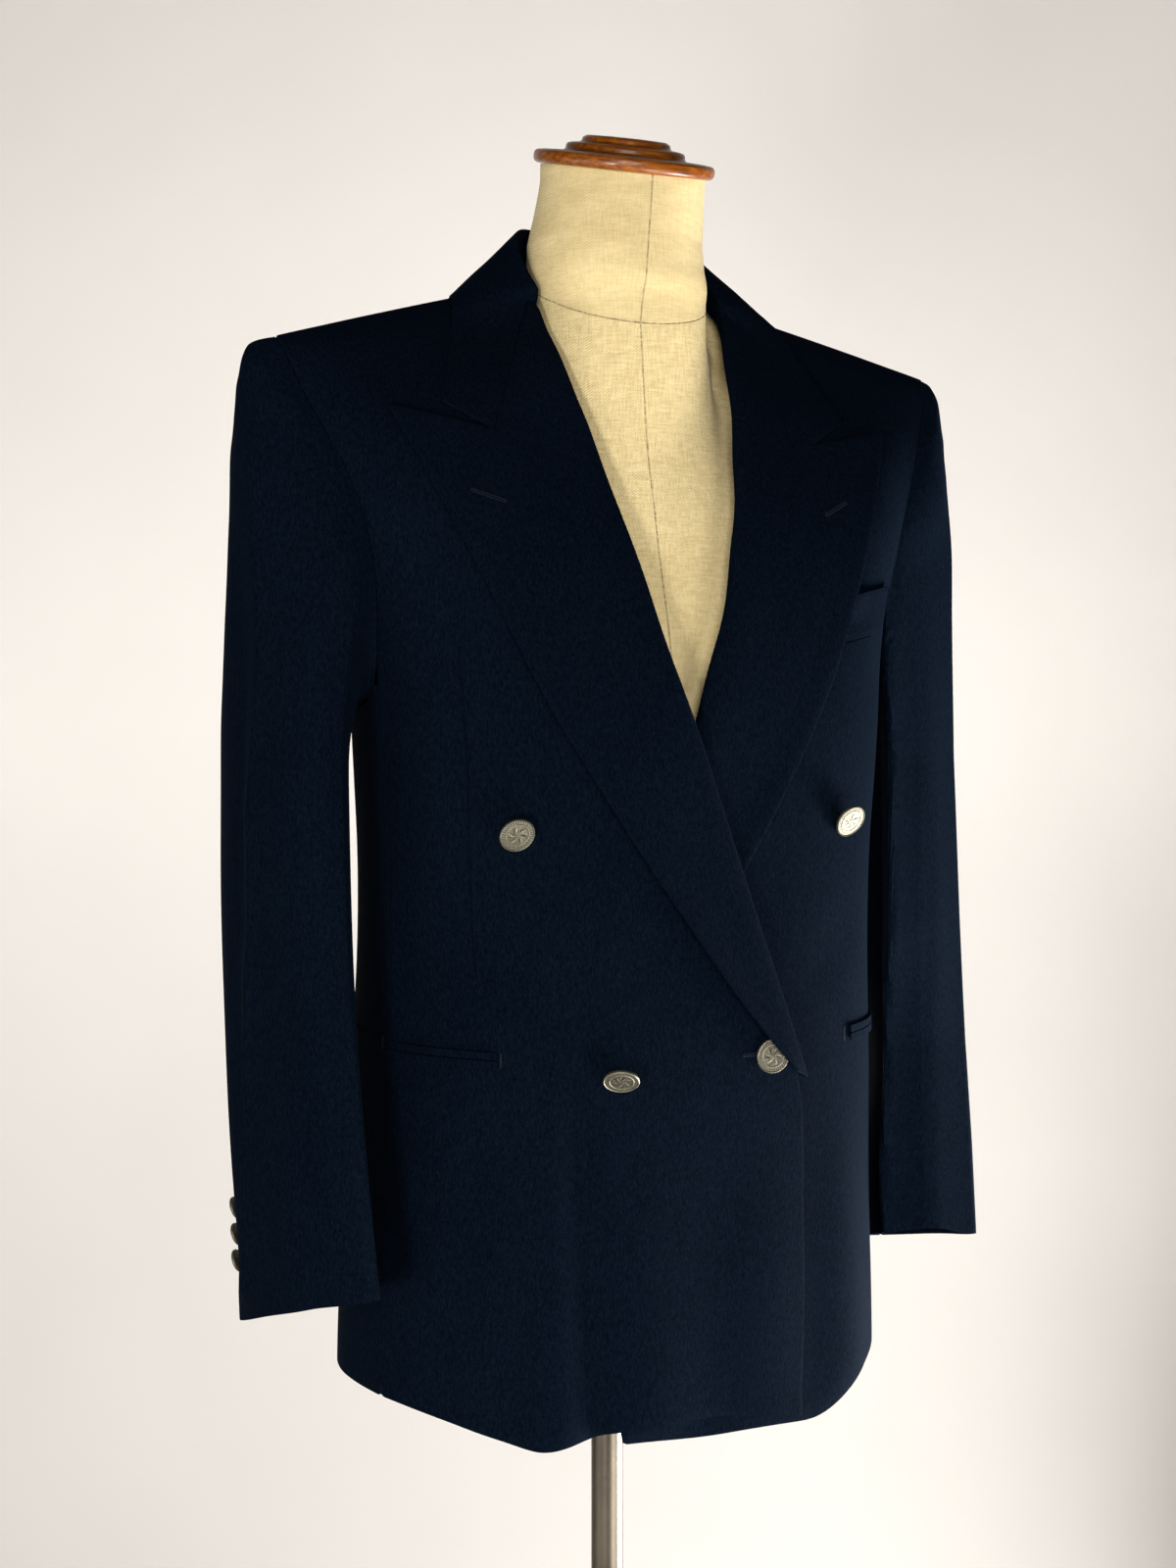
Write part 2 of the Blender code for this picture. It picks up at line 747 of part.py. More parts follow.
# The free edge beside the lapel seam, and the stations round the neck: the
# seam at the foot of the stand, the fold along the top and the free edge.
GORGE_EDGE_COLUMNS = ("t", "x", "height")
GORGE_EDGE = (
    (0.00, 0.1490, 1.4270),
    (0.25, 0.1440, 1.4385),
    (0.50, 0.1388, 1.4500),
    (0.75, 0.1340, 1.4615),
    (1.00, 0.1295, 1.4725),
)
STATION_COLUMNS = ("part", "seam_x", "fold_x", "fold_y", "fold_height", "edge_x", "edge_height")
STATIONS = (
    ("front", 0.0694, 0.0664, -0.0220, 1.5140, 0.1240, 1.4890),
    ("front", 0.0700, 0.0672, -0.0120, 1.5320, 0.1205, 1.4985),
    ("ridge", 0.0705, 0.0670, -0.0010, 1.5430, 0.1165, 1.5040),
    ("back", 0.0625, 0.0640, 0.0070, 1.5490, 0.1110, 1.4995),
    ("back", 0.0570, 0.0570, 0.0190, 1.5535, 0.0960, 1.4950),
    ("back", 0.0440, 0.0440, 0.0325, 1.5570, 0.0740, 1.4970),
    ("back", 0.0230, 0.0230, 0.0430, 1.5595, 0.0390, 1.5030),
    ("back", 0.0000, 0.0000, 0.0470, 1.5600, 0.0000, 1.5060),
)
COLLAR_FALL = (0.22, 0.44, 0.64, 0.82, 1.0)


def ridge_point(x):
    """A point of the shoulder line, where the surface faces up."""
    height = shoulder_height(x)
    return np.array((x, ring_centre(x, height), height)), np.array((0.0, 0.0, 1.0))


def collar_seam_foot(part, x):
    """The stand rises from the middle of the panels' top edges."""
    if part == "back":
        foot, normal = surface_frame(x, neck_seam_height(x), True)
        return foot - normal * WALL / 2 + np.array((0.0, 0.0, 0.0013))
    foot, _ = ridge_point(x)
    drop = 6.4 * (STATIONS[2][1] - x)
    return foot + np.array((-0.0022, -1.2 * drop, 0.0010 - drop))


def collar_path(row):
    """Middle line of the collar at a station, from the stand's foot."""
    part, seam_x, fold_x, fold_y, fold_height, edge_x, edge_height = row
    foot = collar_seam_foot(part, seam_x)
    fold = np.array((fold_x, fold_y, fold_height - THIN_WALL / 2))
    out = unit(np.array((fold_x, fold_y - NECK_Y, 0.0)))
    inner_bend = fold - out * 0.0018 - np.array((0, 0, 0.0018))
    outer_bend = fold + out * 0.0018 - np.array((0, 0, 0.0018))
    if part == "ridge":
        edge, normal = ridge_point(edge_x)
    else:
        edge, normal = surface_frame(edge_x, edge_height, part == "back")
    edge = edge + normal * (DRAPE + THIN_WALL / 2 + 0.0004)
    bulge = unit(out + np.array((0, 0, 1.0))) * 0.0030
    path = [foot, mix(foot, inner_bend, 0.55), inner_bend, fold, outer_bend]
    for share in COLLAR_FALL:
        swell = 4 * share * (1 - share)
        path.append(mix(outer_bend, edge, share) + bulge * swell)
    return path


def collar_half():
    """Rows of half a collar, from the notch round to the centre back."""
    mid = {}
    for row in range(GORGE_ROWS + 1):
        t = row / GORGE_ROWS
        fold_height = mix(LAPEL_SHOULDER, GORGE_TOP, t)
        fold = np.array((-roll_x(fold_height), fold_height))
        end = np.array((smooth_read(GORGE_EDGE, GORGE_EDGE_COLUMNS, "x", t),
                        smooth_read(GORGE_EDGE, GORGE_EDGE_COLUMNS, "height", t)))
        start = gorge_point(t) + np.array((GORGE_GAP, GORGE_GAP))
        for k, share in enumerate((0.0,) + COLLAR_FALL):
            spot = mix(start, end, share)
            run = np.linalg.norm(spot - fold) - lapel_heart()
            point, normal = surface_frame(spot[0], spot[1])
            depth = DRAPE + THIN_WALL / 2 + soft_roll(run)
            mid[row, COLLAR_GORGE_COLUMN + k] = point + normal * depth
    lapel = lapel_mid(1)
    top = LAPEL_ROWS + GORGE_ROWS
    leg, bend, fold = (lapel[top, j] + np.array((0.0, 0.0, 2 * GORGE_GAP)) for j in (1, 2, 3))
    aside = np.array((-0.0012, 0.0, 0.0))
    mid[GORGE_ROWS, 0] = leg + aside
    mid[GORGE_ROWS, 1] = mix(leg + aside, bend, 0.5)
    mid[GORGE_ROWS, 2] = bend
    mid[GORGE_ROWS, 3] = fold
    for k, station in enumerate(STATIONS):
        for j, point in enumerate(collar_path(station)):
            mid[GORGE_ROWS + 1 + k, j] = point
    return mid, GORGE_ROWS + len(STATIONS)


def build_collar(finish):
    half, centre = collar_half()
    mid = {}
    for (i, j), point in half.items():
        mid[i, j] = point
        mid[2 * centre - i, j] = mirror(point, -1)
    outer, inner = skins(mid, THIN_WALL, 0)
    cells = [cell for cell in grid_cells(2 * centre + 1, COLLAR_COLUMNS)
             if all(corner in mid for corner in cell)]
    return wall_solid("collar", outer, inner, cells, finish)


# ---------------------------------------------------------------- sleeves
SLEEVE_COLUMNS = ("height", "x", "y", "half_broad", "half_thin", "turn", "tilt")
SLEEVE_RINGS = (
    (1.196, 0.2330, -0.0044, 0.0760, 0.0320, 2.0, 0.0),
    (1.130, 0.2340, -0.0080, 0.0760, 0.0315, 3.5, 1.0),
    (1.060, 0.2350, -0.0150, 0.0753, 0.0305, 5.0, 4.0),
    (0.995, 0.2350, -0.0235, 0.0733, 0.0295, 7.0, 8.0),
    (0.940, 0.2345, -0.0345, 0.0710, 0.0285, 9.0, 11.0),
    (0.895, 0.2335, -0.0415, 0.0702, 0.0275, 11.0, 13.0),
    (0.860, 0.2335, -0.0475, 0.0700, 0.0265, 13.0, 14.0),
)
# The left sleeve hangs turned further to the front, and opens rounder towards the cuff.
SWAY = {-1: 0.0015, 1: -0.0020}
TWIST = {-1: 0.0, 1: 4.0}
ROUND_FROM, ROUND_TO = 1.22, 0.92        # heights between which it rounds out
ROUND_THIN = {-1: 1.0, 1: 1.42}
ROUND_BROAD = {-1: 1.0, 1: 0.93}
ARMHOLE_GAP = 0.0021     # between a panel's edge and the sleeve's
CAP_DROPS = (0.012, 0.045, 0.11, 0.22, 0.38, 0.58, 0.80)
FRONT_SEAM_SHARE = 0.17
BACK_SEAM_SHARE = 0.80


def armhole_loop():
    """Outer and inner points round the armhole, from its foot over the front."""
    top = LOWER_ROWS + UPPER_ROWS
    side = row_places(LOWER_ROWS, side_seam_turn(LOWER_ROWS, False),
                      side_seam_turn(LOWER_ROWS, True), SIDE_STEPS, False)
    loop = []
    half = SIDE_STEPS // 2
    for j in range(half, 0, -1):
        turn, height = side[j]
        bow = math.sin(math.pi * j / SIDE_STEPS)
        loop.append((turn, height - (ARMHOLE_FOOT - ARMPIT) * bow, "foot"))
    for row in range(LOWER_ROWS, top):
        loop.append((*place_on_row(armhole_turn(row, False), row, False), "front"))
    loop.append((*place_on_row(armhole_turn(top, False), top, False), "tip"))
    for row in range(top - 1, LOWER_ROWS - 1, -1):
        loop.append((*place_on_row(armhole_turn(row, True), row, True), "back"))
    for j in range(SIDE_STEPS - 1, half, -1):
        turn, height = side[j]
        bow = math.sin(math.pi * j / SIDE_STEPS)
        loop.append((turn, height - (ARMHOLE_FOOT - ARMPIT) * bow, "foot"))
    return loop


def sleeve_ring(row, share, hand):
    height, x, y, broad, thin, turn, tilt = row
    opened = 1 - ease(ROUND_TO, ROUND_FROM, height)
    x += SWAY[hand] - thin * (ROUND_THIN[hand] - 1) * 0.45 * opened
    thin *= mix(1.0, ROUND_THIN[hand], opened)
    broad *= mix(1.0, ROUND_BROAD[hand], opened)
    turn += TWIST[hand]
    angle = 2 * math.pi * share
    along = -broad * math.sin(angle)
    across = -thin * math.cos(angle)
    swing = math.radians(turn)
    lean = math.radians(tilt)
    px = x + across * math.cos(swing) + along * math.sin(swing)
    py = y + along * math.cos(swing) - across * math.sin(swing)
    return np.array((px, py, height - along * math.tan(lean)))


def sleeve_mid(hand):
    loop = armhole_loop()
    edge, rims = [], []
    for turn, height, part in loop:
        point, normal = body_point(turn, height), body_normal(turn, height)
        if part == "foot":
            out = np.array((0.0, 0.0, 1.0))
        elif part == "tip":
            out = unit(np.array((1.0, 0.0, -0.25)))
        else:
            step = -0.02 if part == "back" else 0.02
            out = unit(body_point(turn + step, height) - point)
        rims.append((normal, out))
        edge.append(point - normal * WALL / 2 + out * ARMHOLE_GAP)
    count = len(loop)
    run = [0.0]
    for a, b in zip(edge, edge[1:] + edge[:1]):
        run.append(run[-1] + np.linalg.norm(b - a))
    shares = [value / run[-1] for value in run[:count]]
    mid = {}
    for j in range(count):
        start = edge[j]
        goal = sleeve_ring(SLEEVE_RINGS[0], shares[j], hand)
        rise = min(max((start[2] - 1.40) / (1.469 - 1.40), 0.0), 1.0)
        square = 3.0 if loop[j][2] == "foot" else mix(1.6, 8.0, rise ** 2)
        mid[0, j] = start
        for k, drop in enumerate(CAP_DROPS):
            spread = (1 - (1 - drop) ** square) ** (1 / square)
            point = start + (goal - start) * spread
            point[2] = mix(start[2], goal[2], drop)
            mid[k + 1, j] = point
        for k, row in enumerate(SLEEVE_RINGS):
            mid[len(CAP_DROPS) + 1 + k, j] = sleeve_ring(row, shares[j], hand)
    return mid, shares, rims


def sleeve_skins(hand):
    """Its rim stands halfway between the panel's wall and the sleeve's own."""
    mid, shares, rims = sleeve_mid(hand)
    outer, inner = skins(mid, WALL, len(shares), -1.0)
    for j, (normal, out) in enumerate(rims):
        half = unit(normal + unit(outer[1, j] - inner[1, j])) * WALL / 2
        middle = mid[0, j] + out * abs(half @ out)
        outer[0, j] = middle + half
        inner[0, j] = middle - half
    return mid, shares, outer, inner


def build_sleeve(hand, finish):
    mid, shares, outer, inner = sleeve_skins(hand)
    count = len(shares)
    rows = len(CAP_DROPS) + 1 + len(SLEEVE_RINGS)
    front = min(range(count), key=lambda j: abs(shares[j] - FRONT_SEAM_SHARE))
    back = min(range(count), key=lambda j: abs(shares[j] - BACK_SEAM_SHARE))
    top_columns = list(range(front, back + 1))
    under_columns = list(range(back, count)) + list(range(0, front + 1))
    side = "left" if hand > 0 else "right"
    for name, columns in (("top_sleeve", top_columns), ("under_sleeve", under_columns)):
        sheets = ({}, {})
        last = len(columns) - 1
        for i in range(rows):
            for k, j in enumerate(columns):
                for sheet, skin in zip(sheets, (outer, inner)):
                    point = skin[i, j]
                    if k in (0, last):
                        near = skin[i, columns[1 if k == 0 else last - 1]]
                        point = point + unit(near - point) * (SEAM / 2 + 0.00005)
                    sheet[i, k] = mirror(point, hand)
        cells = grid_cells(rows, last + 1)
        wall_solid(f"{name}_{side}", sheets[0], sheets[1], cells, finish)


# ---------------------------------------------------------------- the dress form
FORM_COLUMNS = ("height", "half_width", "clearance", "power")
FORM_RINGS = (
    (0.865, 0.1330, 0.0300, 2.2),
    (0.875, 0.1500, 0.0180, 2.2),
    (0.905, 0.1590, 0.0120, 2.2),
    (0.960, 0.1600, 0.0100, 2.2),
    (1.030, 0.1540, 0.0090, 2.2),
    (1.100, 0.1480, 0.0090, 2.2),
    (1.180, 0.1520, 0.0110, 2.3),
    (1.252, 0.1640, 0.0130, 2.4),
    (1.310, 0.1730, 0.0130, 2.5),
    (1.360, 0.1800, 0.0110, 2.6),
    (1.410, 0.1810, 0.0080, 2.8),
    (1.450, 0.1760, 0.0050, 3.0),
    (1.490, 0.1680, 0.0020, 3.0),
)
FORM_LOW_ROWS = 8        # rings below the armhole foot
NECK_STEPS = 5           # columns from the centre to the neck point, per quarter
NECK_POINT_ANGLE = math.radians(114)     # from the front of the neck
NECK_ROOT = 0.0586       # radius where the neck meets the shoulders
# Columns of the form along its shoulder, as x.
FORM_SHOULDER = (0.0700, 0.0880, 0.1120, 0.1400, 0.1680)
REST_GAP = 0.0005        # the cloth rests on the form's shoulders
FOLD_ROOM = 0.0076       # more room behind the turned-in legs of the lapels
NECK_BASE_COLUMNS = ("y", "height")
NECK_BASE = (
    (-0.0840, 1.4845), (-0.0200, 1.5035), (0.0060, 1.5140), (0.0420, 1.5200),
)
NECK_RINGS = (1.530, 1.550, 1.575)


def neck_root_depth(x, height, back):
    """The neck spreads below its seam into the chest and the back."""
    seam = 1.5190 if back else 1.4845
    below = max(seam - height, 0.0)
    radius = NECK_ROOT + 0.0013 * (below / 0.0245) ** 0.8
    deep = math.sqrt(max(radius * radius - x * x, 0.0))
    return deep * ease(1.26, 1.35, height)


def form_depth(x, height, back, clearance):
    """Inside the coat by the wall and the clearance, as a rolled offset."""
    reach = WALL + clearance
    best = 1.0
    for k in range(9):
        step = reach * (k - 4) / 4
        level = height + step
        gap = math.sqrt(max(reach * reach - step * step, 0.0))
        if level >= shoulder_height(x):
            deep = 0.0
        else:
            point = body_point(turn_at_x(x, level, back), level)
            deep = abs(point[1] - ring_centre(x, height))
        best = min(best, deep - gap)
    return max(best, 0.0)


def form_point(x, height, back, half_width, power, clearance):
    share = max(1 - (abs(x) / half_width) ** power, 0.0) ** (1 / power)
    centre = ring_centre(x, height)
    deep = form_depth(x, height, back, clearance) * share
    root = neck_root_depth(x, height, back) + (centre - NECK_Y) * (-1 if back else 1)
    if neck_root_depth(x, height, back) > 0 and root > 0:
        deep = (deep ** 8 + root ** 8) ** (1 / 8)
    return np.array((x, centre + deep if back else centre - deep, height))


def form_top(q, back):
    """Top edge of the torso: round the neck, then along the shoulder."""
    if q > NECK_STEPS:
        x = FORM_SHOULDER[q - NECK_STEPS - 1]
        height = shoulder_height(x)
        return np.array((x, ring_centre(x, height), height - (WALL + REST_GAP) * 1.04))
    if back:
        angle = mix(math.pi, NECK_POINT_ANGLE, q / NECK_STEPS)
    else:
        angle = mix(0.0, NECK_POINT_ANGLE, q / NECK_STEPS)
    x = NECK_ROOT * math.sin(angle)
    y = NECK_Y - NECK_ROOT * math.cos(angle)
    return np.array((x, y, smooth_read(NECK_BASE, NECK_BASE_COLUMNS, "height", y)))


def form_row(row, q, back):
    """A point of a quarter of the torso; q runs from the centre to the side."""
    last = NECK_STEPS + len(FORM_SHOULDER)
    top = form_top(q, back)
    if row < FORM_LOW_ROWS:
        t = 0.0
        base = mix(FORM_FOOT, ARMHOLE_FOOT, row / FORM_LOW_ROWS)
        height = (FORM_FOOT, 0.875, 0.905)[row] if row < 3 else base
    else:
        t = (row - FORM_LOW_ROWS) / UPPER_ROWS
        height = mix(ARMHOLE_FOOT, top[2], 1 - (1 - t) ** 1.45)
    if t == 1.0:
        return top
    level = mix(ARMHOLE_FOOT, 1.486, 1 - (1 - t) ** 1.45) if t else height
    half_width = smooth_read(FORM_RINGS, FORM_COLUMNS, "half_width", level)
    power = smooth_read(FORM_RINGS, FORM_COLUMNS, "power", level)
    angle = math.pi / 2 * q / last
    ring_x = half_width * signed_power(math.sin(angle), 2 / power)
    x = mix(ring_x, top[0], ease(0.2, 1.0, t)) if q < last else half_width
    clearance = smooth_read(FORM_RINGS, FORM_COLUMNS, "clearance", level)
    clearance += FOLD_ROOM * (1 - ease(0.078, 0.096, x)) * ease(1.36, 1.40, level)
    return form_point(x, height, back, half_width + 0.0004, power, clearance)


def build_form(finish):
    """Torso and neck in one smooth closed body."""
    last = NECK_STEPS + len(FORM_SHOULDER)
    points, index = [], {}

    def vertex(key, point):
        if key not in index:
            index[key] = len(points)
            points.append(point)
        return index[key]

    rows = FORM_LOW_ROWS + UPPER_ROWS
    loops = []
    for row in range(rows + 1):
        loop = []
        for hand in (1, -1):
            quarters = [(q, False) for q in range(last + 1)]
            quarters += [(q, True) for q in range(last, -1, -1)]
            if hand < 0:
                quarters = quarters[::-1]
            for q, back in quarters:
                shared = q == last or (row == rows and q >= NECK_STEPS)
                side = "seam" if shared else back
                key = (row, q, side, hand if q else 0)
                loop.append(vertex(key, mirror(form_row(row, q, back), hand)))
        loops.append(loop)
    faces = []
    for low, high in zip(loops, loops[1:]):
        count = len(low)
        for k in range(count):
            m = (k + 1) % count
            corners = []
            for corner in (low[k], low[m], high[m], high[k]):
                if corner not in corners:
                    corners.append(corner)
            if len(corners) > 2:
                faces.append(tuple(corners))
    foot = list(dict.fromkeys(loops[0]))
    faces.append(tuple(reversed(foot)))
    ring_keys = [(q, False, 1) for q in range(NECK_STEPS + 1)]
    ring_keys += [(q, True, 1) for q in range(NECK_STEPS - 1, -1, -1)]
    ring_keys += [(q, True, -1) for q in range(1, NECK_STEPS + 1)]
    ring_keys += [(q, False, -1) for q in range(NECK_STEPS - 1, 0, -1)]
    below = []
    for q, back, hand in ring_keys:
        side = "seam" if q == NECK_STEPS else back
        below.append(index[rows, q, side, hand if q else 0])
    tilt = Matrix.Rotation(CAP_TILT, 4, "X")
    crown = Matrix.Translation((0.0, NECK_Y, NECK_TOP)) @ tilt
    for height in NECK_RINGS + (NECK_TOP,):
        above = []
        for q, back, hand in ring_keys:
            share = q / NECK_STEPS
            angle = mix(math.pi if back else 0.0, NECK_POINT_ANGLE, share)
            spread = 0.0012 * (1 - ease(1.52, 1.56, height))
            x = (NECK_RADIUS + spread) * math.sin(angle) * hand
            y = -(NECK_RADIUS + spread) * math.cos(angle)
            if height == NECK_TOP:
                spot = tuple(crown @ Vector((x, y, 0.0)))
            else:
                spot = (x, NECK_Y + y, height)
            points.append(spot)
            above.append(len(points) - 1)
        for k in range(len(below)):
            m = (k + 1) % len(below)
            faces.append((below[k], below[m], above[m], above[k]))
        below = above
    faces.append(tuple(below))
    return add_node("form_torso", points, faces, finish)


# Turned profiles: radius and height from bottom to top.
CAP_PROFILE = (
    (0.0575, 0.0000), (0.0600, 0.0012), (0.0610, 0.0030), (0.0608, 0.0060),
    (0.0590, 0.0080), (0.0440, 0.0092), (0.0425, 0.0104), (0.0425, 0.0124),
    (0.0405, 0.0138), (0.0330, 0.0148), (0.0315, 0.0158), (0.0310, 0.0176),
    (0.0280, 0.0193), (0.0140, 0.0200),
)
BASE_PROFILE = (
    (0.1880, 0.0000), (BASE_RADIUS, 0.0030), (BASE_RADIUS, 0.0080), (0.1860, 0.0115),
    (0.0420, 0.0170), (0.0240, 0.0210), (0.0205, 0.0280), (0.0200, 0.0560), (0.0180, 0.0580),
)
POLE_PROFILE_INSET = 0.0005


def build_stand(wood, steel):
    tilt = Matrix.Rotation(CAP_TILT, 4, "X")
    seat = Matrix.Translation((0.0, NECK_Y, NECK_TOP)) @ tilt
    cap_place = seat @ Matrix.Translation((0.0, 0.0, SEAM))
    turned_solid("neck_cap", CAP_PROFILE, 32, wood, cap_place)
    turned_solid("stand_base", BASE_PROFILE, 40, steel)
    foot = BASE_PROFILE[-1][1] + SEAM
    top = FORM_FOOT - SEAM
    pole = ((POLE_RADIUS - POLE_PROFILE_INSET, foot), (POLE_RADIUS, foot + POLE_PROFILE_INSET),
            (POLE_RADIUS, top - POLE_PROFILE_INSET), (POLE_RADIUS - POLE_PROFILE_INSET, top))
    turned_solid("pole", pole, 20, steel)


# ---------------------------------------------------------------- pockets
HIP_FRONT_X = 0.1300     # front end of the hip pocket's mouth
HIP_HEIGHT = 1.0170
HIP_LENGTH = 0.150
HIP_RISE = 0.0065        # the mouth climbs this much towards the back
JET_HEIGHT = 0.0052
JET_STEPS = 10
WELT_FOOT = (0.0800, 1.2745)     # lower front corner: x and height
WELT_LENGTH = 0.098
WELT_SLOPE = math.radians(9.0)
WELT_HEIGHT = 0.0290
WELT_STEPS = 5


def walk_surface(x, height, length, steps, rise):
    """Even steps of arc along the body from a point of the front, (turn, height)."""
    turn = turn_at_x(x, height)
    places = [(turn, height)]
    stride = length / steps
    for k in range(1, steps + 1):
        level = height + rise * k / steps
        here = body_point(*places[-1])
        step = 0.002
        while True:
            ahead = body_point(turn + step, level)
            if np.linalg.norm(ahead - here) >= stride:
                break
            step += 0.002
        turn += step
        places.append((turn, level))
    return places


def patch_solid(name, hand, places, height, lean, finish):
    """A strip of cloth on a front: places run along its lower edge."""
    outer, inner = {}, {}
    for j, (turn, level) in enumerate(places):
        for i in range(2):
            lift_to = level + height * i
            spot = turn + lean * i
            point, normal = body_point(spot, lift_to), body_normal(spot, lift_to)
            base = front_lift(hand, point[0] * hand, lift_to) if abs(spot) < 1.4 else 0.0
            inner[i, j] = mirror(point + normal * (base + PATCH_GAP), hand)
            outer[i, j] = mirror(point + normal * (base + PATCH_GAP + PATCH_WALL), hand)
    cells = grid_cells(2, len(places))
    return wall_solid(name, outer, inner, cells, finish)


def build_pockets(finish):
    for hand, side in ((-1, "right"), (1, "left")):
        for part, foot in (("upper", HIP_HEIGHT + SEAM), ("lower", HIP_HEIGHT - JET_HEIGHT)):
            places = walk_surface(HIP_FRONT_X, foot, HIP_LENGTH, JET_STEPS, HIP_RISE)
            patch_solid(f"pocket_jet_{part}_{side}", hand, places, JET_HEIGHT - SEAM, 0.0, finish)
    rise = WELT_LENGTH * math.sin(WELT_SLOPE)
    places = walk_surface(*WELT_FOOT, WELT_LENGTH * math.cos(WELT_SLOPE), WELT_STEPS, rise)
    patch_solid("breast_welt", 1, places, WELT_HEIGHT, 0.012, finish)


# ---------------------------------------------------------------- buttons
BUTTON_PROFILE = (   # share of the radius, height above the shank's foot
    (0.22, 0.0000), (0.22, 0.0016), (0.80, 0.0018), (0.97, 0.0026), (1.00, 0.0034),
    (0.95, 0.0042), (0.80, 0.0046), (0.40, 0.0054),
)
SHANK_SHARE = 0.63       # a button that leans out stands on a longer shank
CUFF_BUTTON_HEIGHTS = (0.034, 0.051, 0.068)
FRONT_BUTTON_COLUMNS = ("name", "hand", "x", "height", "lean_x", "lean_up")
FRONT_BUTTONS = (
    ("front_button_1", -1, 0.1180, 1.1570, 0.10, 0.12),
    ("front_button_2", 1, 0.1230, 1.1605, 0.25, 0.05),
    ("front_button_3", -1, 0.0580, 0.9990, 0.0, 0.75),
    ("front_button_4", -1, -0.0462, 1.0095, 0.0, 0.0),
)


def button_place(point, normal, up_lean=0.0, side_lean=0.0):
    face = unit(normal + np.array((side_lean, 0.0, up_lean)))
    across = unit(np.cross(np.array((0.0, 0.0, 1.0)), face))
    up = np.cross(face, across)
    place = Matrix.Identity(4)
    for k, axis in enumerate((across, up, face)):
        for r in range(3):
            place[r][k] = axis[r]
    for r in range(3):
        place[r][3] = point[r]
    return place


def button_node(name, radius, segments, place, metal):
    scale = radius / BUTTON_RADIUS
    profile = [(share * radius, height * scale) for share, height in BUTTON_PROFILE]
    turned_solid(name, profile, segments, metal, place)


def build_buttons(metal):
    for name, hand, x, height, lean_x, lean_up in FRONT_BUTTONS:
        point, normal = surface_frame(x, height)
        base = front_lift(hand, x * hand, height)
        shank = SHANK_SHARE * BUTTON_RADIUS * max(math.hypot(lean_x, lean_up) - 0.18, 0.0)
        foot = mirror(point + normal * (base + LAY + shank), hand)
        side = lean_x * hand
        place = button_place(foot, mirror(normal, hand), lean_up, side)
        button_node(name, BUTTON_RADIUS, 16, place, metal)
    rows = len(CAP_DROPS) + 1 + len(SLEEVE_RINGS)
    for hand, side in ((-1, "right"), (1, "left")):
        _, shares, outer, inner = sleeve_skins(hand)
        back = min(range(len(shares)), key=lambda j: abs(shares[j] - BACK_SEAM_SHARE))
        column = back - 1
        cuff, lower, upper = (outer[rows - k, column] for k in (1, 2, 3))
        leg = np.linalg.norm(lower - cuff)
        for k, above in enumerate(CUFF_BUTTON_HEIGHTS):
            if above < leg:
                point = mix(cuff, lower, above / leg)
            else:
                point = mix(lower, upper, (above - leg) / np.linalg.norm(upper - lower))
            normal = unit(outer[rows - 2, column] - inner[rows - 2, column])
            foot = mirror(point + normal * (LAY + 0.0004), hand)
            place = button_place(foot, mirror(normal, hand))
            button_node(f"cuff_button_{side}_{k + 1}", CUFF_BUTTON_RADIUS, 12, place, metal)


# ---------------------------------------------------------------- build
def main():
    wipe_scene()
    for hand in (-1, 1):
        build_front(hand, "navy_wool")
        build_side(hand, "navy_wool")
        build_back(hand, "navy_wool")
        build_sleeve(hand, "navy_wool")
        build_lapel(hand, "navy_wool")
    build_collar("navy_wool")
    build_pockets("navy_wool")
    build_buttons("aged_silver")
    build_form("natural_linen")
    build_stand("varnished_wood", "brushed_steel")


main()
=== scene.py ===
# %% [markdown]
# # A double breasted blazer on a tailor's dress form
#
# A jacket is a shell of flat cloth pieces that a tailor cuts, darts, presses and sews until they
# stand round like a body. Here each piece starts from the plain solid that already has its true
# size and place. It is smoothed into cloth, gets its creases, and then gets what a needle adds:
# buttonholes, bar tacks and buttons. The form under it gets its linen, its wood and its steel.
#
# Units are metres. The jacket faces -Y, +Z is up and the wearer's left side is +X.

# %% Load the frame
import json
import math

import bpy
import numpy as np
from mathutils import Matrix, Vector
from mathutils.bvhtree import BVHTree

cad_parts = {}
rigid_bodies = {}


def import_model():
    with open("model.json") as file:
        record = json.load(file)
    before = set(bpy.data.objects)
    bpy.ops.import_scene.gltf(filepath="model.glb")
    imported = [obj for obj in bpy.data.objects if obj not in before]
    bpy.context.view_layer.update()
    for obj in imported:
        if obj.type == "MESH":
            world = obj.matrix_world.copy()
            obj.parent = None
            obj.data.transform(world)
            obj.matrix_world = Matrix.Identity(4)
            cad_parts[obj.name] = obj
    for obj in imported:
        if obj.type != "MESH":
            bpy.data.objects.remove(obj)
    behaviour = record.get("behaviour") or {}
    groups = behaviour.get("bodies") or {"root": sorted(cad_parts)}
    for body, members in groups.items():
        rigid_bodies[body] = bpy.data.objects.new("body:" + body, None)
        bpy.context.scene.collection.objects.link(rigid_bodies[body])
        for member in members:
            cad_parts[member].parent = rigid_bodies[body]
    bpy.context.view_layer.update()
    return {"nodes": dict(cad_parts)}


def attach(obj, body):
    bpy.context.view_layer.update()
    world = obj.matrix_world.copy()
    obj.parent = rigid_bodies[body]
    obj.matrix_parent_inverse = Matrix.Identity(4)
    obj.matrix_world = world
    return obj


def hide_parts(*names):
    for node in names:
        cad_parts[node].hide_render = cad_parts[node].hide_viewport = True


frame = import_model()

# %% [markdown]
# ## The camera
#
# A standing viewer's eye, a little to the wearer's right of the jacket and almost level with the
# chest. A 55 mm lens from about 1.6 m keeps the perspective gentle, as a portrait lens does.

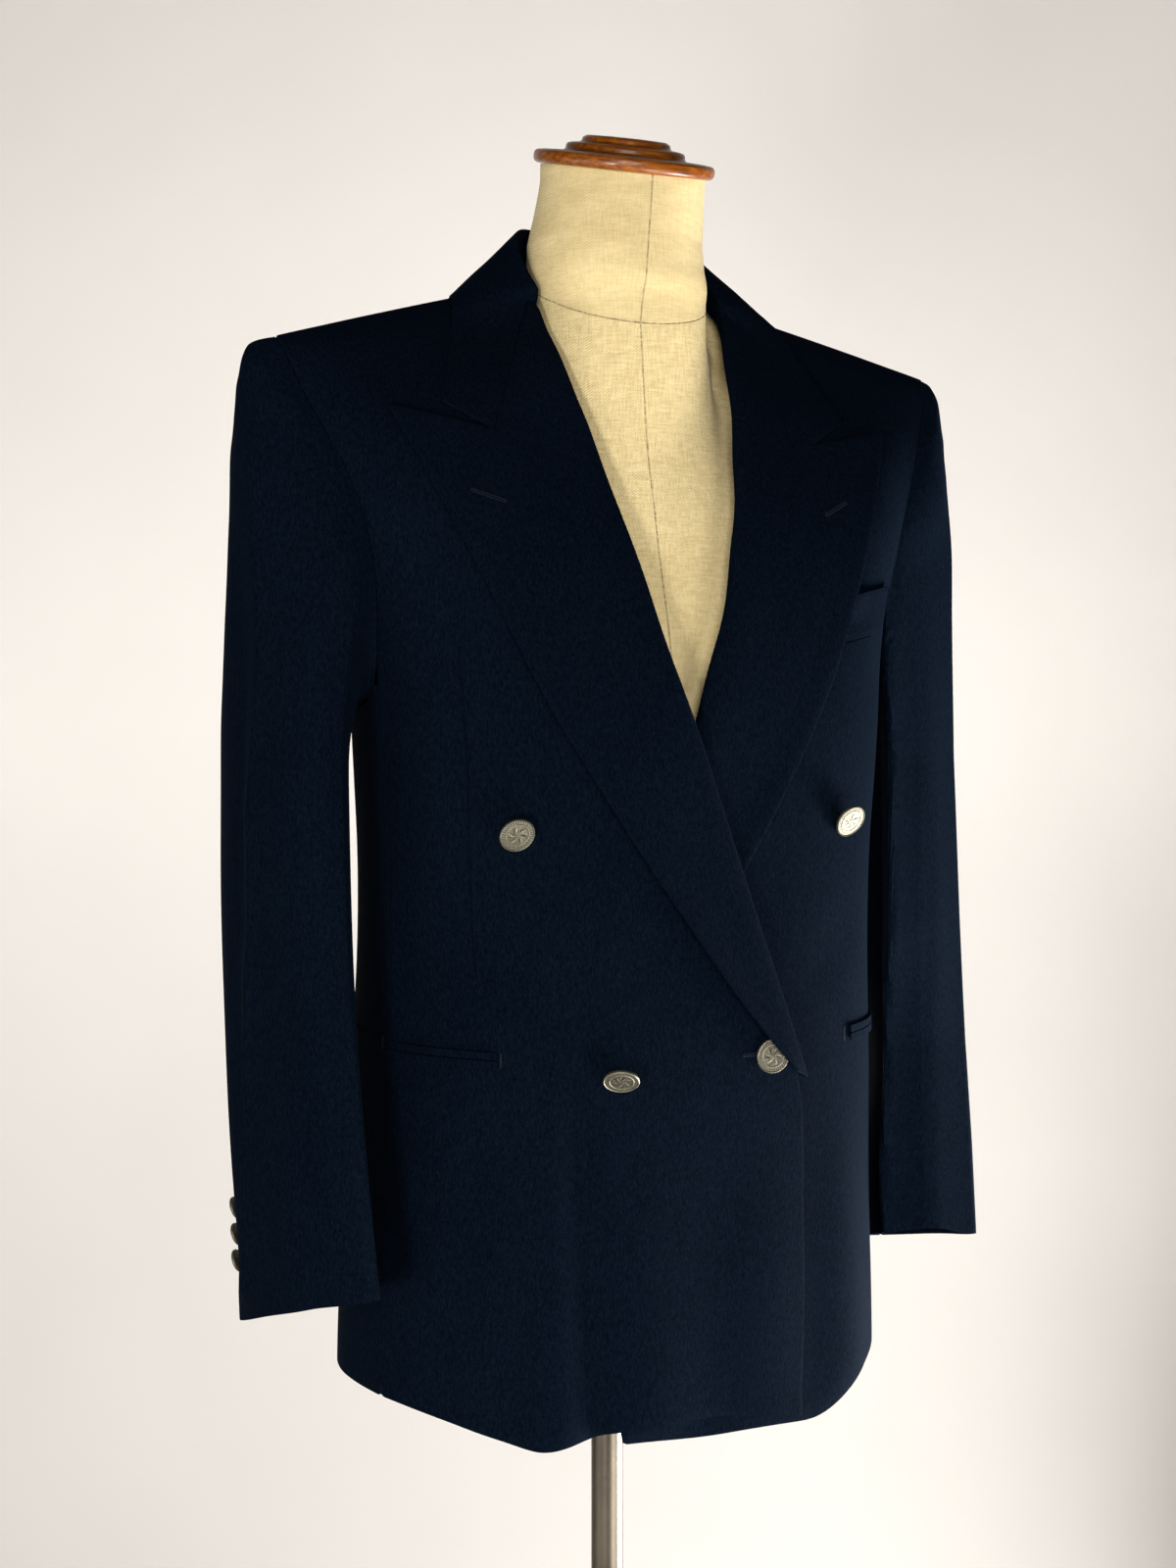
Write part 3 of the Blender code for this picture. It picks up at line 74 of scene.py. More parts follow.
# %% Camera
LENS_MM = 55.0
EYE = Vector((-0.7477, -1.4571, 1.2491))
HEADING = math.radians(26.7)     # turned from +Y towards +X
LOOK_DOWN = math.radians(2.31)

camera_data = bpy.data.cameras.new("camera")
camera_data.lens = LENS_MM
camera_data.sensor_width = 36.0
camera = bpy.data.objects.new("camera", camera_data)
bpy.context.collection.objects.link(camera)
camera.location = EYE
camera.rotation_euler = (math.pi / 2 - LOOK_DOWN, 0.0, -HEADING)
bpy.context.scene.camera = camera
bpy.context.scene.view_settings.view_transform = "Standard"
print("camera looks", round(math.degrees(HEADING), 1), "degrees past square")

# %% [markdown]
# ## Working by hand, in code
#
# Blender's operators act on whatever is selected, so every step first clears the selection and
# then picks its piece, and its faces or edges by where they are. These few helpers do only that.


# %% Selection helpers
def object_mode():
    if bpy.context.mode != "OBJECT":
        bpy.ops.object.mode_set(mode="OBJECT")


def only(*pieces):
    """Leave just these pieces selected, with the first one active."""
    object_mode()
    bpy.ops.object.select_all(action="DESELECT")
    for piece in pieces:
        piece.select_set(True)
    bpy.context.view_layer.objects.active = pieces[0]


def edit(piece, mode="VERT"):
    """Open a piece in edit mode with nothing selected in it."""
    only(piece)
    bpy.ops.object.mode_set(mode="EDIT")
    bpy.ops.mesh.select_mode(type=mode)
    bpy.ops.mesh.select_all(action="DESELECT")


def points_of(piece):
    flat = np.empty(len(piece.data.vertices) * 3)
    piece.data.vertices.foreach_get("co", flat)
    return flat.reshape(-1, 3)


def move_points(piece, points):
    piece.data.vertices.foreach_set("co", np.ascontiguousarray(points, dtype=float).ravel())
    piece.data.update()


def finish_with(piece, kind, **settings):
    """Add one modifier and apply it."""
    only(piece)
    modifier = piece.modifiers.new(kind.lower(), kind)
    for name, value in settings.items():
        setattr(modifier, name, value)
    bpy.ops.object.modifier_apply(modifier=modifier.name)


def settle(piece):
    """Write a piece's place, turn and size into its mesh."""
    only(piece)
    bpy.ops.object.transform_apply(location=True, rotation=True, scale=True)


def dress(piece, material):
    piece.data.materials.clear()
    piece.data.materials.append(material)


# Nothing stays selected from the loading step.
bpy.ops.object.select_all(action="DESELECT")
print("helpers ready")


# %% Soft steps
def ease(low, high, value):
    """A soft step from 0 at low to 1 at high; low may be the larger number."""
    t = np.clip((value - low) / (high - low), 0.0, 1.0)
    return t * t * (3 - 2 * t)


# %% [markdown]
# ## Navy wool
#
# The cloth is a fine crepe: hard-twisted yarn that leaves a dry, pebbled face with a faint
# vertical grain. It is nearly black and takes almost no shine. A picture of cloth could be wrapped
# on, but yarn is so small that noise stretched along the grain does it at any distance. One noise
# makes the yarn's pebbles and one, long and thin, the grain, and both drive the colour and the
# bump. A third, slow one clouds the colour. What little light the dye gives back is blue, so the
# shine and the sheen of loose fibres are tinted. Darts are sewn shut and pressed, so only a sunk
# line shows: it is drawn in the finish as a groove in the bump, with painted shade along it.


# %% Material helpers
def new_material(name):
    """A new material, its node tree and its shader."""
    material = bpy.data.materials.new(name)
    material.use_nodes = True
    tree = material.node_tree
    return material, tree, tree.nodes["Principled BSDF"]


def set_inputs(node, settings):
    for socket, value in settings.items():
        node.inputs[socket].default_value = value


def finish_shader(tree, shader, settings, colour, normal=None):
    """Set a shader's plain inputs, and join its colour and its bump."""
    set_inputs(shader, settings)
    tree.links.new(colour, shader.inputs["Base Color"])
    if normal is not None:
        tree.links.new(normal, shader.inputs["Normal"])


def feed(tree, node, values):
    """Give a node its inputs in order: numbers and tuples are set, and other nodes joined."""
    for socket, value in zip(node.inputs, values):
        if isinstance(value, (int, float, tuple)):
            socket.default_value = value
        elif value is not None:
            tree.links.new(value, socket)


def object_mapping(tree, scale=(1.0, 1.0, 1.0), turn=(0.0, 0.0, 0.0)):
    place = tree.nodes.new("ShaderNodeTexCoord")
    mapping = tree.nodes.new("ShaderNodeMapping")
    set_inputs(mapping, {"Scale": scale, "Rotation": turn})
    tree.links.new(place.outputs["Object"], mapping.inputs["Vector"])
    return mapping.outputs["Vector"]


def noise(tree, vector, scale, detail=3.0, rough=0.5):
    texture = tree.nodes.new("ShaderNodeTexNoise")
    set_inputs(texture, {"Scale": scale, "Detail": detail, "Roughness": rough})
    tree.links.new(vector, texture.inputs["Vector"])
    return texture.outputs["Fac"]


def maths(tree, operation, first, second=None, third=None, clamp=False):
    node = tree.nodes.new("ShaderNodeMath")
    node.operation = operation
    node.use_clamp = clamp
    feed(tree, node, (first, second, third))
    return node.outputs["Value"]


def vector_maths(tree, operation, first, second=None, result="Vector"):
    node = tree.nodes.new("ShaderNodeVectorMath")
    node.operation = operation
    feed(tree, node, (first, second))
    return node.outputs[result]


def mixture(tree, *parts):
    """The sum of several patterns, each given with its share."""
    *others, (pattern, share) = parts
    total = maths(tree, "MULTIPLY", pattern, share)
    for pattern, share in reversed(others):
        total = maths(tree, "MULTIPLY_ADD", pattern, share, total)
    return total


def thin_line(tree, off, half):
    """1 where off is 0, fading to 0 where it reaches half."""
    return maths(tree, "SUBTRACT", 1.0, maths(tree, "DIVIDE", off, half), clamp=True)


def seam_line(tree, start, end, half):
    """1 along a straight seam between two (x, z) points, fading to 0 at half its width."""
    run = (end[0] - start[0], 0.0, end[1] - start[1])
    place = tree.nodes.new("ShaderNodeTexCoord").outputs["Object"]
    flat = vector_maths(tree, "MULTIPLY", place, (1.0, 0.0, 1.0))
    away = vector_maths(tree, "SUBTRACT", flat, (start[0], 0.0, start[1]))
    along = maths(tree, "DIVIDE", vector_maths(
        tree, "DOT_PRODUCT", away, run, "Value"), run[0] ** 2 + run[2] ** 2, clamp=True)
    foot = vector_maths(tree, "MULTIPLY", along, run)
    off = vector_maths(tree, "SUBTRACT", away, foot)
    return thin_line(tree, vector_maths(tree, "LENGTH", off, None, "Value"), half)


def ramp(tree, factor, stops):
    node = tree.nodes.new("ShaderNodeValToRGB")
    row = node.color_ramp.elements
    while len(row) < len(stops):
        row.new(0.5)
    for element, (place, colour) in zip(row, stops):
        element.position = place
        element.color = (*colour, 1.0)
    tree.links.new(factor, node.inputs["Fac"])
    return node.outputs["Color"]


def darken_with_painted_shade(tree, colour, amount, shade_colour):
    """A colour with some amount of darker painted shade laid over it."""
    node = tree.nodes.new("ShaderNodeMix")
    node.data_type = "RGBA"
    node.inputs["B"].default_value = (*shade_colour, 1.0)
    tree.links.new(amount, node.inputs["Factor"])
    tree.links.new(colour, node.inputs["A"])
    return node.outputs["Result"]


def bump(tree, height, distance, strength=1.0, under=None):
    node = tree.nodes.new("ShaderNodeBump")
    set_inputs(node, {"Distance": distance, "Strength": strength})
    tree.links.new(height, node.inputs["Height"])
    if under is not None:
        tree.links.new(under, node.inputs["Normal"])
    return node.outputs["Normal"]


# %% Navy wool
WOOL_DARK = (0.0004, 0.0014, 0.0034)
WOOL_MID = (0.0014, 0.0030, 0.0066)
WOOL_LIGHT = (0.0027, 0.0053, 0.0102)
# the colour of the painted shade along the sunk seam lines
SEAM_PAINTED_SHADE = (0.0002, 0.0004, 0.0010)
YARN_PER_METRE = 1400.0          # pebbles of the twisted yarn
CLOUDS_PER_METRE = 14.0
PEBBLE_STRETCH = 0.70            # the pebbles are a little longer up the cloth than across
GRAIN_STRETCH = 0.40             # and the grain runs longer still
YARN_HEIGHT = 0.0005
SEAM_HALF = 0.0011               # half the width of a sunk seam line
WOOL_FINISH = {
    "Roughness": 0.90, "Specular IOR Level": 0.010, "Specular Tint": (0.35, 0.65, 1.0, 1.0),
    "Sheen Weight": 0.006, "Sheen Roughness": 0.40, "Sheen Tint": (0.22, 0.52, 1.0, 1.0),
}


def wool_material(name, turn=0.0, seams=()):
    """Crepe wool. turn tips the grain; a seam is two (x, z) points and how deep its groove and painted
    shade go.
    """
    material, tree, shader = new_material(name)
    pebbles = object_mapping(tree, (1.0, 1.0, PEBBLE_STRETCH), (0.0, turn, 0.0))
    grain = object_mapping(tree, (1.0, 1.0, GRAIN_STRETCH), (0.0, turn, 0.0))
    pebble = noise(tree, pebbles, YARN_PER_METRE, 2.0, 0.6)
    thread = noise(tree, grain, YARN_PER_METRE * 0.5, 3.0, 0.6)
    cloud = noise(tree, pebbles, CLOUDS_PER_METRE, 2.0, 0.5)
    face = mixture(tree, (thread, 0.6), (pebble, 0.4))
    tone = mixture(tree, (cloud, 0.08), (face, 0.92))
    colour = ramp(tree, tone, ((0.36, WOOL_DARK), (0.50, WOOL_MID), (0.66, WOOL_LIGHT)))
    # each seam is a groove in the bump, darkened with painted shade along it
    for start, end, depth in seams:
        line = maths(tree, "MULTIPLY", seam_line(tree, start, end, SEAM_HALF), depth)
        colour = darken_with_painted_shade(tree, colour, line, SEAM_PAINTED_SHADE)
        face = maths(tree, "SUBTRACT", face, line)
    finish_shader(tree, shader, WOOL_FINISH, colour, bump(tree, face, YARN_HEIGHT, 0.8))
    return material


# Darts and the foot of the breast welt, sunk lines with painted shade: the ends (x, z) of each line, and
# how much it shows.
DART = ((-0.150, 1.2745), (-0.142, 1.068), 0.38)
LEFT_DART = ((0.150, 1.2600), (0.142, 1.068), 0.22)
WELT_FOOT = ((0.086, 1.2712), (0.1530, 1.2843), 0.70)
LAPEL_GRAIN = math.radians(22)   # the grain on a lapel follows its edge
wool = wool_material("navy_crepe_wool")
wool_front_right = wool_material("navy_crepe_wool_right_front", seams=(DART,))
wool_front_left = wool_material("navy_crepe_wool_left_front", seams=(LEFT_DART, WELT_FOOT))
wool_lapel_right = wool_material("navy_crepe_wool_right_lapel", -LAPEL_GRAIN)
wool_lapel_left = wool_material("navy_crepe_wool_left_lapel", LAPEL_GRAIN)
print("wool:", round(1000 / YARN_PER_METRE, 2), "mm between pebbles")

# %% [markdown]
# ## How the cloth hangs
#
# Cloth that hangs from the shoulders falls in long, soft folds, and empty sleeves crease where an
# elbow would be. A cloth simulation could find its own folds, but these ones have a known place,
# so each is written down as a short path on the jacket with a width and a depth. Every piece of
# the body is moved by one and the same field, so that a lapel stays on the front it lies on, and
# the two skins of a piece stay a cloth's thickness apart. The sleeves have folds of their own.


# %% Folds as paths with a width and a depth
def distance_to_path(points, path):
    """Distance of each point to a path, and how far along it the nearest place is."""
    best = np.full(len(points), 1e9)
    share = np.zeros(len(points))
    path = np.array(path)
    legs = np.linalg.norm(path[1:] - path[:-1], axis=1)
    done = 0.0
    for start, end, leg in zip(path[:-1], path[1:], legs):
        along = np.clip(((points - start) @ (end - start)) / leg ** 2, 0.0, 1.0)
        gap = np.linalg.norm(points - start - along[:, None] * (end - start), axis=1)
        nearer = gap < best
        best[nearer] = gap[nearer]
        share[nearer] = ((done + along * leg) / legs.sum())[nearer]
        done += leg
    return best, share


def fold_push(points, folds):
    """How far out each point goes: a positive depth is a ridge and a negative one a trough."""
    push = np.zeros(len(points))
    for reach, depth, form, fade_in, fade_out, path in folds:
        gap, share = distance_to_path(points, path)
        ends = ease(0.0, fade_in, share) * ease(0.0, fade_out, 1.0 - share)
        push += depth * np.exp(-((gap / reach) ** form)) * ends
    return push


WAVES = 7


def waviness(points, seed, size, height):
    """A slow, shallow unevenness, as no pressed cloth is quite even."""
    chance = np.random.default_rng(seed)
    total = np.zeros(len(points))
    for _ in range(WAVES):
        direction = chance.normal(size=3) * np.array((1.0, 1.0, 0.6))
        direction /= np.linalg.norm(direction)
        wave = 2 * math.pi / (size * chance.uniform(0.7, 1.6))
        total += np.sin(points @ direction * wave + chance.uniform(0, 2 * math.pi))
    return total * height / WAVES


# %% The body's folds
# How far a fold reaches to each side, its depth, 2 for a soft fold and 1 for a pressed edge,
# how soft each end is (as a share of the length), and its path.
BODY_FOLDS = (
    # the long trough beside the low button and the ridges on either side of it
    (0.011, -0.0046, 2, 0.35, 0.02,
     ((-0.094, -0.124, 1.056), (-0.088, -0.127, 0.990), (-0.083, -0.126, 0.930), (-0.073, -0.127, 0.770))),
    (0.017, 0.0030, 2, 0.35, 0.02,
     ((-0.108, -0.122, 1.000), (-0.104, -0.124, 0.950), (-0.096, -0.126, 0.770))),
    (0.030, 0.0030, 2, 0.4, 0.02,
     ((-0.060, -0.130, 0.980), (-0.045, -0.130, 0.920), (-0.036, -0.130, 0.770))),
    (0.024, -0.0016, 2, 0.4, 0.02,
     ((0.010, -0.134, 0.960), (0.014, -0.131, 0.870), (0.016, -0.131, 0.770))),
    # down from the pocket's front end
    (0.018, -0.0026, 2, 0.35, 0.10,
     ((-0.137, -0.104, 1.000), (-0.146, -0.098, 0.930), (-0.152, -0.090, 0.830))),
    (0.020, 0.0022, 2, 0.35, 0.02,
     ((-0.128, -0.108, 0.960), (-0.134, -0.106, 0.880), (-0.138, -0.100, 0.770))),
    # the drag from the low button up towards the waist
    (0.017, -0.0034, 2, 0.40, 0.30,
     ((-0.142, -0.094, 1.128), (-0.122, -0.110, 1.082), (-0.100, -0.121, 1.044), (-0.076, -0.128, 1.012))),
    (0.022, 0.0022, 2, 0.40, 0.40,
     ((-0.150, -0.090, 1.080), (-0.128, -0.106, 1.040), (-0.110, -0.118, 1.015))),
    (0.026, 0.0022, 2, 0.50, 0.40,
     ((-0.100, -0.116, 1.150), (-0.075, -0.124, 1.100), (-0.050, -0.130, 1.060))),
    # the waist is drawn in under the arm
    (0.030, -0.0008, 2, 0.40, 0.40,
     ((-0.176, -0.030, 1.240), (-0.174, -0.046, 1.150), (-0.176, -0.036, 1.060))),
    (0.026, 0.0030, 2, 0.50, 0.40,
     ((-0.160, -0.074, 1.290), (-0.152, -0.088, 1.200), (-0.148, -0.092, 1.120))),
    (0.026, -0.0036, 2, 0.40, 0.40,
     ((0.178, -0.030, 1.240), (0.176, -0.040, 1.150), (0.178, -0.030, 1.060))),
    (0.020, -0.0016, 2, 0.50, 0.40,
     ((0.150, -0.080, 1.120), (0.110, -0.112, 1.070), (0.070, -0.130, 1.030))),
    (0.024, 0.0018, 2, 0.40, 0.10,
     ((0.120, -0.112, 1.000), (0.122, -0.116, 0.900), (0.120, -0.116, 0.770))),
    (0.020, -0.0016, 2, 0.40, 0.10,
     ((0.088, -0.124, 0.980), (0.090, -0.124, 0.880), (0.088, -0.124, 0.770))),
    # soft hollows below the shoulders
    (0.022, -0.0024, 2, 0.40, 0.50,
     ((-0.186, -0.056, 1.360), (-0.165, -0.074, 1.300), (-0.150, -0.088, 1.230))),
    (0.020, -0.0020, 2, 0.40, 0.50,
     ((0.188, -0.056, 1.350), (0.168, -0.072, 1.290), (0.156, -0.084, 1.220))),
    # the back
    (0.022, -0.0040, 2, 0.50, 0.05,
     ((-0.110, 0.100, 1.000), (-0.118, 0.112, 0.880), (-0.124, 0.116, 0.770))),
    (0.026, 0.0034, 2, 0.50, 0.05,
     ((-0.060, 0.110, 1.000), (-0.066, 0.118, 0.880), (-0.070, 0.120, 0.770))),
    (0.020, -0.0034, 2, 0.50, 0.05,
     ((0.090, 0.108, 0.980), (0.100, 0.114, 0.870), (0.108, 0.118, 0.770))),
    (0.028, 0.0030, 2, 0.50, 0.05,
     ((0.040, 0.112, 0.960), (0.042, 0.118, 0.870), (0.046, 0.120, 0.770))),
    (0.018, -0.0034, 2, 0.40, 0.40,
     ((-0.150, 0.060, 1.150), (-0.080, 0.092, 1.120), (0.0, 0.098, 1.105))),
    (0.016, -0.0028, 2, 0.40, 0.40,
     ((0.150, 0.060, 1.130), (0.085, 0.092, 1.105), (0.015, 0.098, 1.090))),
    (0.024, 0.0026, 2, 0.40, 0.40,
     ((0.150, 0.065, 1.300), (0.120, 0.090, 1.240), (0.060, 0.097, 1.190))),
    (0.024, 0.0024, 2, 0.40, 0.40,
     ((-0.150, 0.065, 1.290), (-0.110, 0.092, 1.230), (-0.050, 0.098, 1.180))),
)
print("folds on the body:", len(BODY_FOLDS))

# %% The sleeves' folds
RIGHT_SLEEVE_FOLDS = (
    # the pressed edge down the outside
    (0.0080, 0.0050, 1, 0.10, 0.02,
     ((-0.2644, -0.0171, 1.4339), (-0.2628, -0.0302, 1.3727), (-0.2628, -0.0378, 1.2718),
      (-0.2642, -0.0332, 1.2012), (-0.2657, -0.0303, 1.1044), (-0.2668, -0.0266, 1.0308),
      (-0.2670, -0.0220, 0.9570), (-0.2663, -0.0171, 0.8600))),
    (0.015, -0.0040, 2, 0.30, 0.05,
     ((-0.266, -0.004, 1.400), (-0.268, -0.014, 1.270), (-0.268, -0.008, 1.100), (-0.268, 0.002, 0.860))),
    (0.020, -0.0026, 2, 0.40, 0.40,
     ((-0.250, -0.078, 1.130), (-0.262, -0.045, 1.100), (-0.268, -0.005, 1.090))),
    (0.016, -0.0022, 2, 0.40, 0.40,
     ((-0.240, -0.090, 1.075), (-0.258, -0.060, 1.050), (-0.266, -0.020, 1.020))),
    (0.022, 0.0026, 2, 0.40, 0.40,
     ((-0.246, -0.083, 1.200), (-0.258, -0.050, 1.180), (-0.265, -0.010, 1.150))),
    (0.016, -0.0030, 2, 0.40, 0.02,
     ((-0.250, -0.078, 1.020), (-0.249, -0.088, 0.950), (-0.246, -0.096, 0.860))),
    (0.018, -0.0024, 2, 0.30, 0.40,
     ((-0.226, -0.066, 1.400), (-0.232, -0.080, 1.320), (-0.236, -0.082, 1.220))),
    (0.018, 0.0026, 2, 0.40, 0.40,
     ((-0.222, 0.050, 1.230), (-0.228, 0.062, 1.100), (-0.228, 0.056, 0.980))),
)
LEFT_SLEEVE_FOLDS = (
    # the inner side bows away from the body at the elbow
    (0.045, -0.0200, 2, 0.30, 0.30,
     ((0.1950, 0.010, 1.070), (0.1920, -0.006, 0.985), (0.1880, -0.022, 0.910))),
    (0.015, -0.0034, 2, 0.40, 0.40,
     ((0.2250, -0.080, 1.180), (0.2160, -0.086, 1.080), (0.2000, -0.080, 1.000), (0.1900, -0.070, 0.960))),
    (0.018, -0.0024, 2, 0.40, 0.02,
     ((0.2440, -0.084, 1.050), (0.2420, -0.098, 0.950), (0.2360, -0.112, 0.860))),
    (0.014, 0.0030, 1, 0.20, 0.02,
     ((0.262, -0.030, 1.400), (0.264, -0.042, 1.280), (0.268, -0.036, 1.100), (0.270, -0.030, 0.860))),
    (0.018, -0.0026, 2, 0.30, 0.20,
     ((0.266, 0.000, 1.360), (0.268, 0.006, 1.200), (0.272, 0.006, 1.000), (0.272, 0.004, 0.860))),
    (0.016, -0.0026, 2, 0.40, 0.40,
     ((0.220, 0.050, 1.200), (0.226, 0.060, 1.080), (0.228, 0.050, 0.960))),
)
print("folds on the sleeves:", len(RIGHT_SLEEVE_FOLDS) + len(LEFT_SLEEVE_FOLDS))

# %% [markdown]
# ## The sleeve that hangs flat
#
# With no arm in it, the left sleeve turns its front edge in towards the body, and its broad outer
# side lies almost flat between that edge and the outer one. A fold along a path can't do that,
# because the whole section changes. So each point between the two edges is moved along its own
# ray to the straight line that joins them. A seventh of its roundness is left, which keeps the
# two faces of the cloth apart.

# %% Pressing the left sleeve
# Each row: height, the sleeve's middle (x, y), the inner edge (degrees from straight ahead
# towards the wearer's left, and distance from the middle), and the distance of the outer edge.
LEFT_SLEEVE_FACE = (
    (0.86, 0.2260, -0.0470, -60, 0.0550, 0.0405),
    (0.90, 0.2265, -0.0410, -59, 0.0560, 0.0410),
    (1.00, 0.2285, -0.0250, -51, 0.0640, 0.0425),
    (1.08, 0.2295, -0.0140, -38, 0.0725, 0.0445),
    (1.20, 0.2308, -0.0050, -35, 0.0745, 0.0440),
    (1.30, 0.2260, -0.0073, -35, 0.0700, 0.0445),
    (1.45, 0.2260, -0.0073, -35, 0.0700, 0.0445),
)
FACE_OUTER = 45.0                # degrees of the face's outer edge
FACE_PRESS = 0.86                # how much of the sleeve's roundness is pressed out
BEFORE_FACE = (-11, -1)          # degrees before the inner edge over which the press begins
PAST_FACE = 15                   # degrees past the outer edge over which it ends
FACE_TOP = (1.41, 1.33)          # heights between which it fades out below the shoulder
HEM_DROP = 0.20                  # where it is pressed in, the hem drops by this share of that
HEM_ZONE = (0.87, 0.94)          # heights over which that fades out
INNER_BOW = (0.188, 0.004, 0.985)         # where the inner side bows away from the body
INNER_REACH = (0.035, 0.055, 0.065)
INNER_PUSH = 0.019


def turn_in(points):
    """Press the left sleeve's outer side flat between its turned-in front edge and its outer one."""
    heights, xs, ys, inner, inner_radius, outer_radius = np.array(LEFT_SLEEVE_FACE).T
    z = points[:, 2]
    out = points[:, :2] - np.stack((np.interp(z, heights, xs), np.interp(z, heights, ys)), axis=1)
    radius = np.linalg.norm(out, axis=1)
    way = np.degrees(np.arctan2(out[:, 0], -out[:, 1]))
    first = np.interp(z, heights, inner)
    turn = np.clip(way, first, FACE_OUTER)
    chord = (np.sin(np.radians(FACE_OUTER - turn)) / np.interp(z, heights, inner_radius)
             + np.sin(np.radians(turn - first)) / np.interp(z, heights, outer_radius))
    flat = np.sin(np.radians(FACE_OUTER - first)) / chord
    share = FACE_PRESS * ease(*BEFORE_FACE, way - first)
    share *= (1 - ease(FACE_OUTER, FACE_OUTER + PAST_FACE, way)) * ease(*FACE_TOP, z)
    push = (flat - radius) * share
    moved = points.copy()
    moved[:, :2] += out / radius[:, None] * push[:, None]
    moved[:, 2] += HEM_DROP * push * (1 - ease(*HEM_ZONE, z))
    bow = np.exp(-(((points - INNER_BOW) / INNER_REACH) ** 2).sum(axis=1))
    moved[:, 0] += INNER_PUSH * bow
    return moved


print("the left sleeve keeps", round(100 * (1 - FACE_PRESS)), "per cent of its roundness")

# %% [markdown]
# ## Hanging each piece
#
# Here and there cloth sits a few millimetres off its solid, such as a collar pushed open or a hem
# that dips. Each of these is a place and a shift that fades with distance. One function then gives
# a piece all that it needs: its folds, its unevenness, the press and the small shifts.

# %% Small shifts
# The place, how far its shift reaches each way, and the shift.
NUDGES = (
    # the waist beside the right sleeve
    ((-0.172, -0.030, 1.110), (0.018, 0.060, 0.130), (-0.0050, 0.0012, 0.0)),
    # the collar's inner edges
    ((-0.058, -0.010, 1.535), (0.030, 0.035, 0.022), (-0.0030, 0.0015, 0.0)),
    ((0.062, -0.020, 1.505), (0.030, 0.035, 0.030), (0.0050, -0.0010, 0.0)),
    # the collar's fall and stand round the neck
    ((-0.052, 0.018, 1.552), (0.030, 0.030, 0.020), (0.0, 0.0, 0.0040)),
    ((0.064, 0.008, 1.548), (0.030, 0.030, 0.020), (0.0, 0.0, 0.0040)),
    ((0.0, 0.045, 1.560), (0.050, 0.030, 0.020), (0.0, 0.0, 0.0030)),
    # the right lapel's fold
    ((-0.062, -0.022, 1.500), (0.030, 0.030, 0.014), (0.0015, -0.0035, 0.0)),
    ((-0.055, -0.040, 1.470), (0.035, 0.040, 0.035), (0.0024, -0.0050, 0.0)),
    ((-0.045, -0.065, 1.420), (0.035, 0.040, 0.035), (0.0014, -0.0028, 0.0)),
    ((-0.018, -0.110, 1.275), (0.035, 0.040, 0.050), (-0.0022, 0.0011, 0.0)),
    # the left lapel's fold
    ((0.064, -0.030, 1.487), (0.035, 0.040, 0.036), (0.0062, -0.0016, 0.0)),
    ((0.056, -0.060, 1.430), (0.035, 0.040, 0.038), (0.0056, -0.0014, 0.0)),
    ((0.045, -0.088, 1.370), (0.035, 0.040, 0.040), (0.0056, -0.0014, 0.0)),
    ((0.030, -0.100, 1.300), (0.035, 0.040, 0.040), (0.0052, -0.0012, 0.0)),
    # the shoulders' pads
    ((-0.160, -0.010, 1.455), (0.075, 0.080, 0.050), (0.0, 0.0, 0.0026)),
    ((0.150, -0.010, 1.455), (0.075, 0.080, 0.050), (0.0, 0.0, 0.0028)),
    # hem and cuffs
    ((-0.150, -0.090, 0.790), (0.055, 0.060, 0.050), (0.0, 0.0, -0.0045)),
    ((0.140, -0.100, 0.785), (0.022, 0.030, 0.040), (0.0, 0.0, 0.0042)),
    ((0.095, -0.122, 0.780), (0.020, 0.030, 0.040), (0.0, 0.0, -0.0022)),
    ((0.030, -0.132, 0.780), (0.040, 0.030, 0.040), (0.0, 0.0, 0.0014)),
    ((-0.262, 0.000, 0.862), (0.030, 0.040, 0.040), (0.0, 0.0, -0.0032)),
    ((0.262, -0.060, 0.855), (0.030, 0.040, 0.040), (0.0, 0.0, -0.0026)),
    ((0.200, -0.095, 0.857), (0.025, 0.040, 0.040), (0.0, 0.0, 0.0016)),
)


def nudge(points):
    moved = points.copy()
    for place, reach, shift in NUDGES:
        near = np.exp(-(((points - place) / reach) ** 2).sum(axis=1))
        moved += near[:, None] * np.array(shift)
    return moved


print("small shifts:", len(NUDGES))

# %% Hanging a piece
# Each part's upright middle (x, y), its folds, the seed, size and height of its unevenness, and
# the heights between which all of that fades out towards the shoulder seam.
SLEEVE_AXIS = {"right": (-0.2345, -0.015), "left": (0.2315, -0.015)}
BODY_AXIS = (0.0, -0.010)
HANGS = {
    "body": (BODY_AXIS, BODY_FOLDS, 5, 0.16, 0.0022, 1.40, 1.50),
    "right": (SLEEVE_AXIS["right"], RIGHT_SLEEVE_FOLDS, 9, 0.12, 0.0020, 1.38, 1.45),
    "left": (SLEEVE_AXIS["left"], LEFT_SLEEVE_FOLDS, 9, 0.12, 0.0020, 1.38, 1.45),
}
SLEEVE_FREE = (0.195, 0.225)     # a sleeve's folds fade out on the side that touches the body


def hang(points, part):
    """Move points of the body, or of one sleeve, outwards by its folds."""
    axis, folds, seed, size, height, fade_start, fade_end = HANGS[part]
    push = fold_push(points, folds) + waviness(points, seed, size, height)
    push *= 1.0 - ease(fade_start, fade_end, points[:, 2])
    if part != "body":
        push *= ease(*SLEEVE_FREE, np.abs(points[:, 0]))
    out = points[:, :2] - np.array(axis)
    out /= np.maximum(np.linalg.norm(out, axis=1), 1e-6)[:, None]
    moved = points.copy()
    moved[:, :2] += out * push[:, None]
    if part == "left":
        moved = turn_in(moved)
    return nudge(moved)


print("parts that hang:", ", ".join(HANGS))

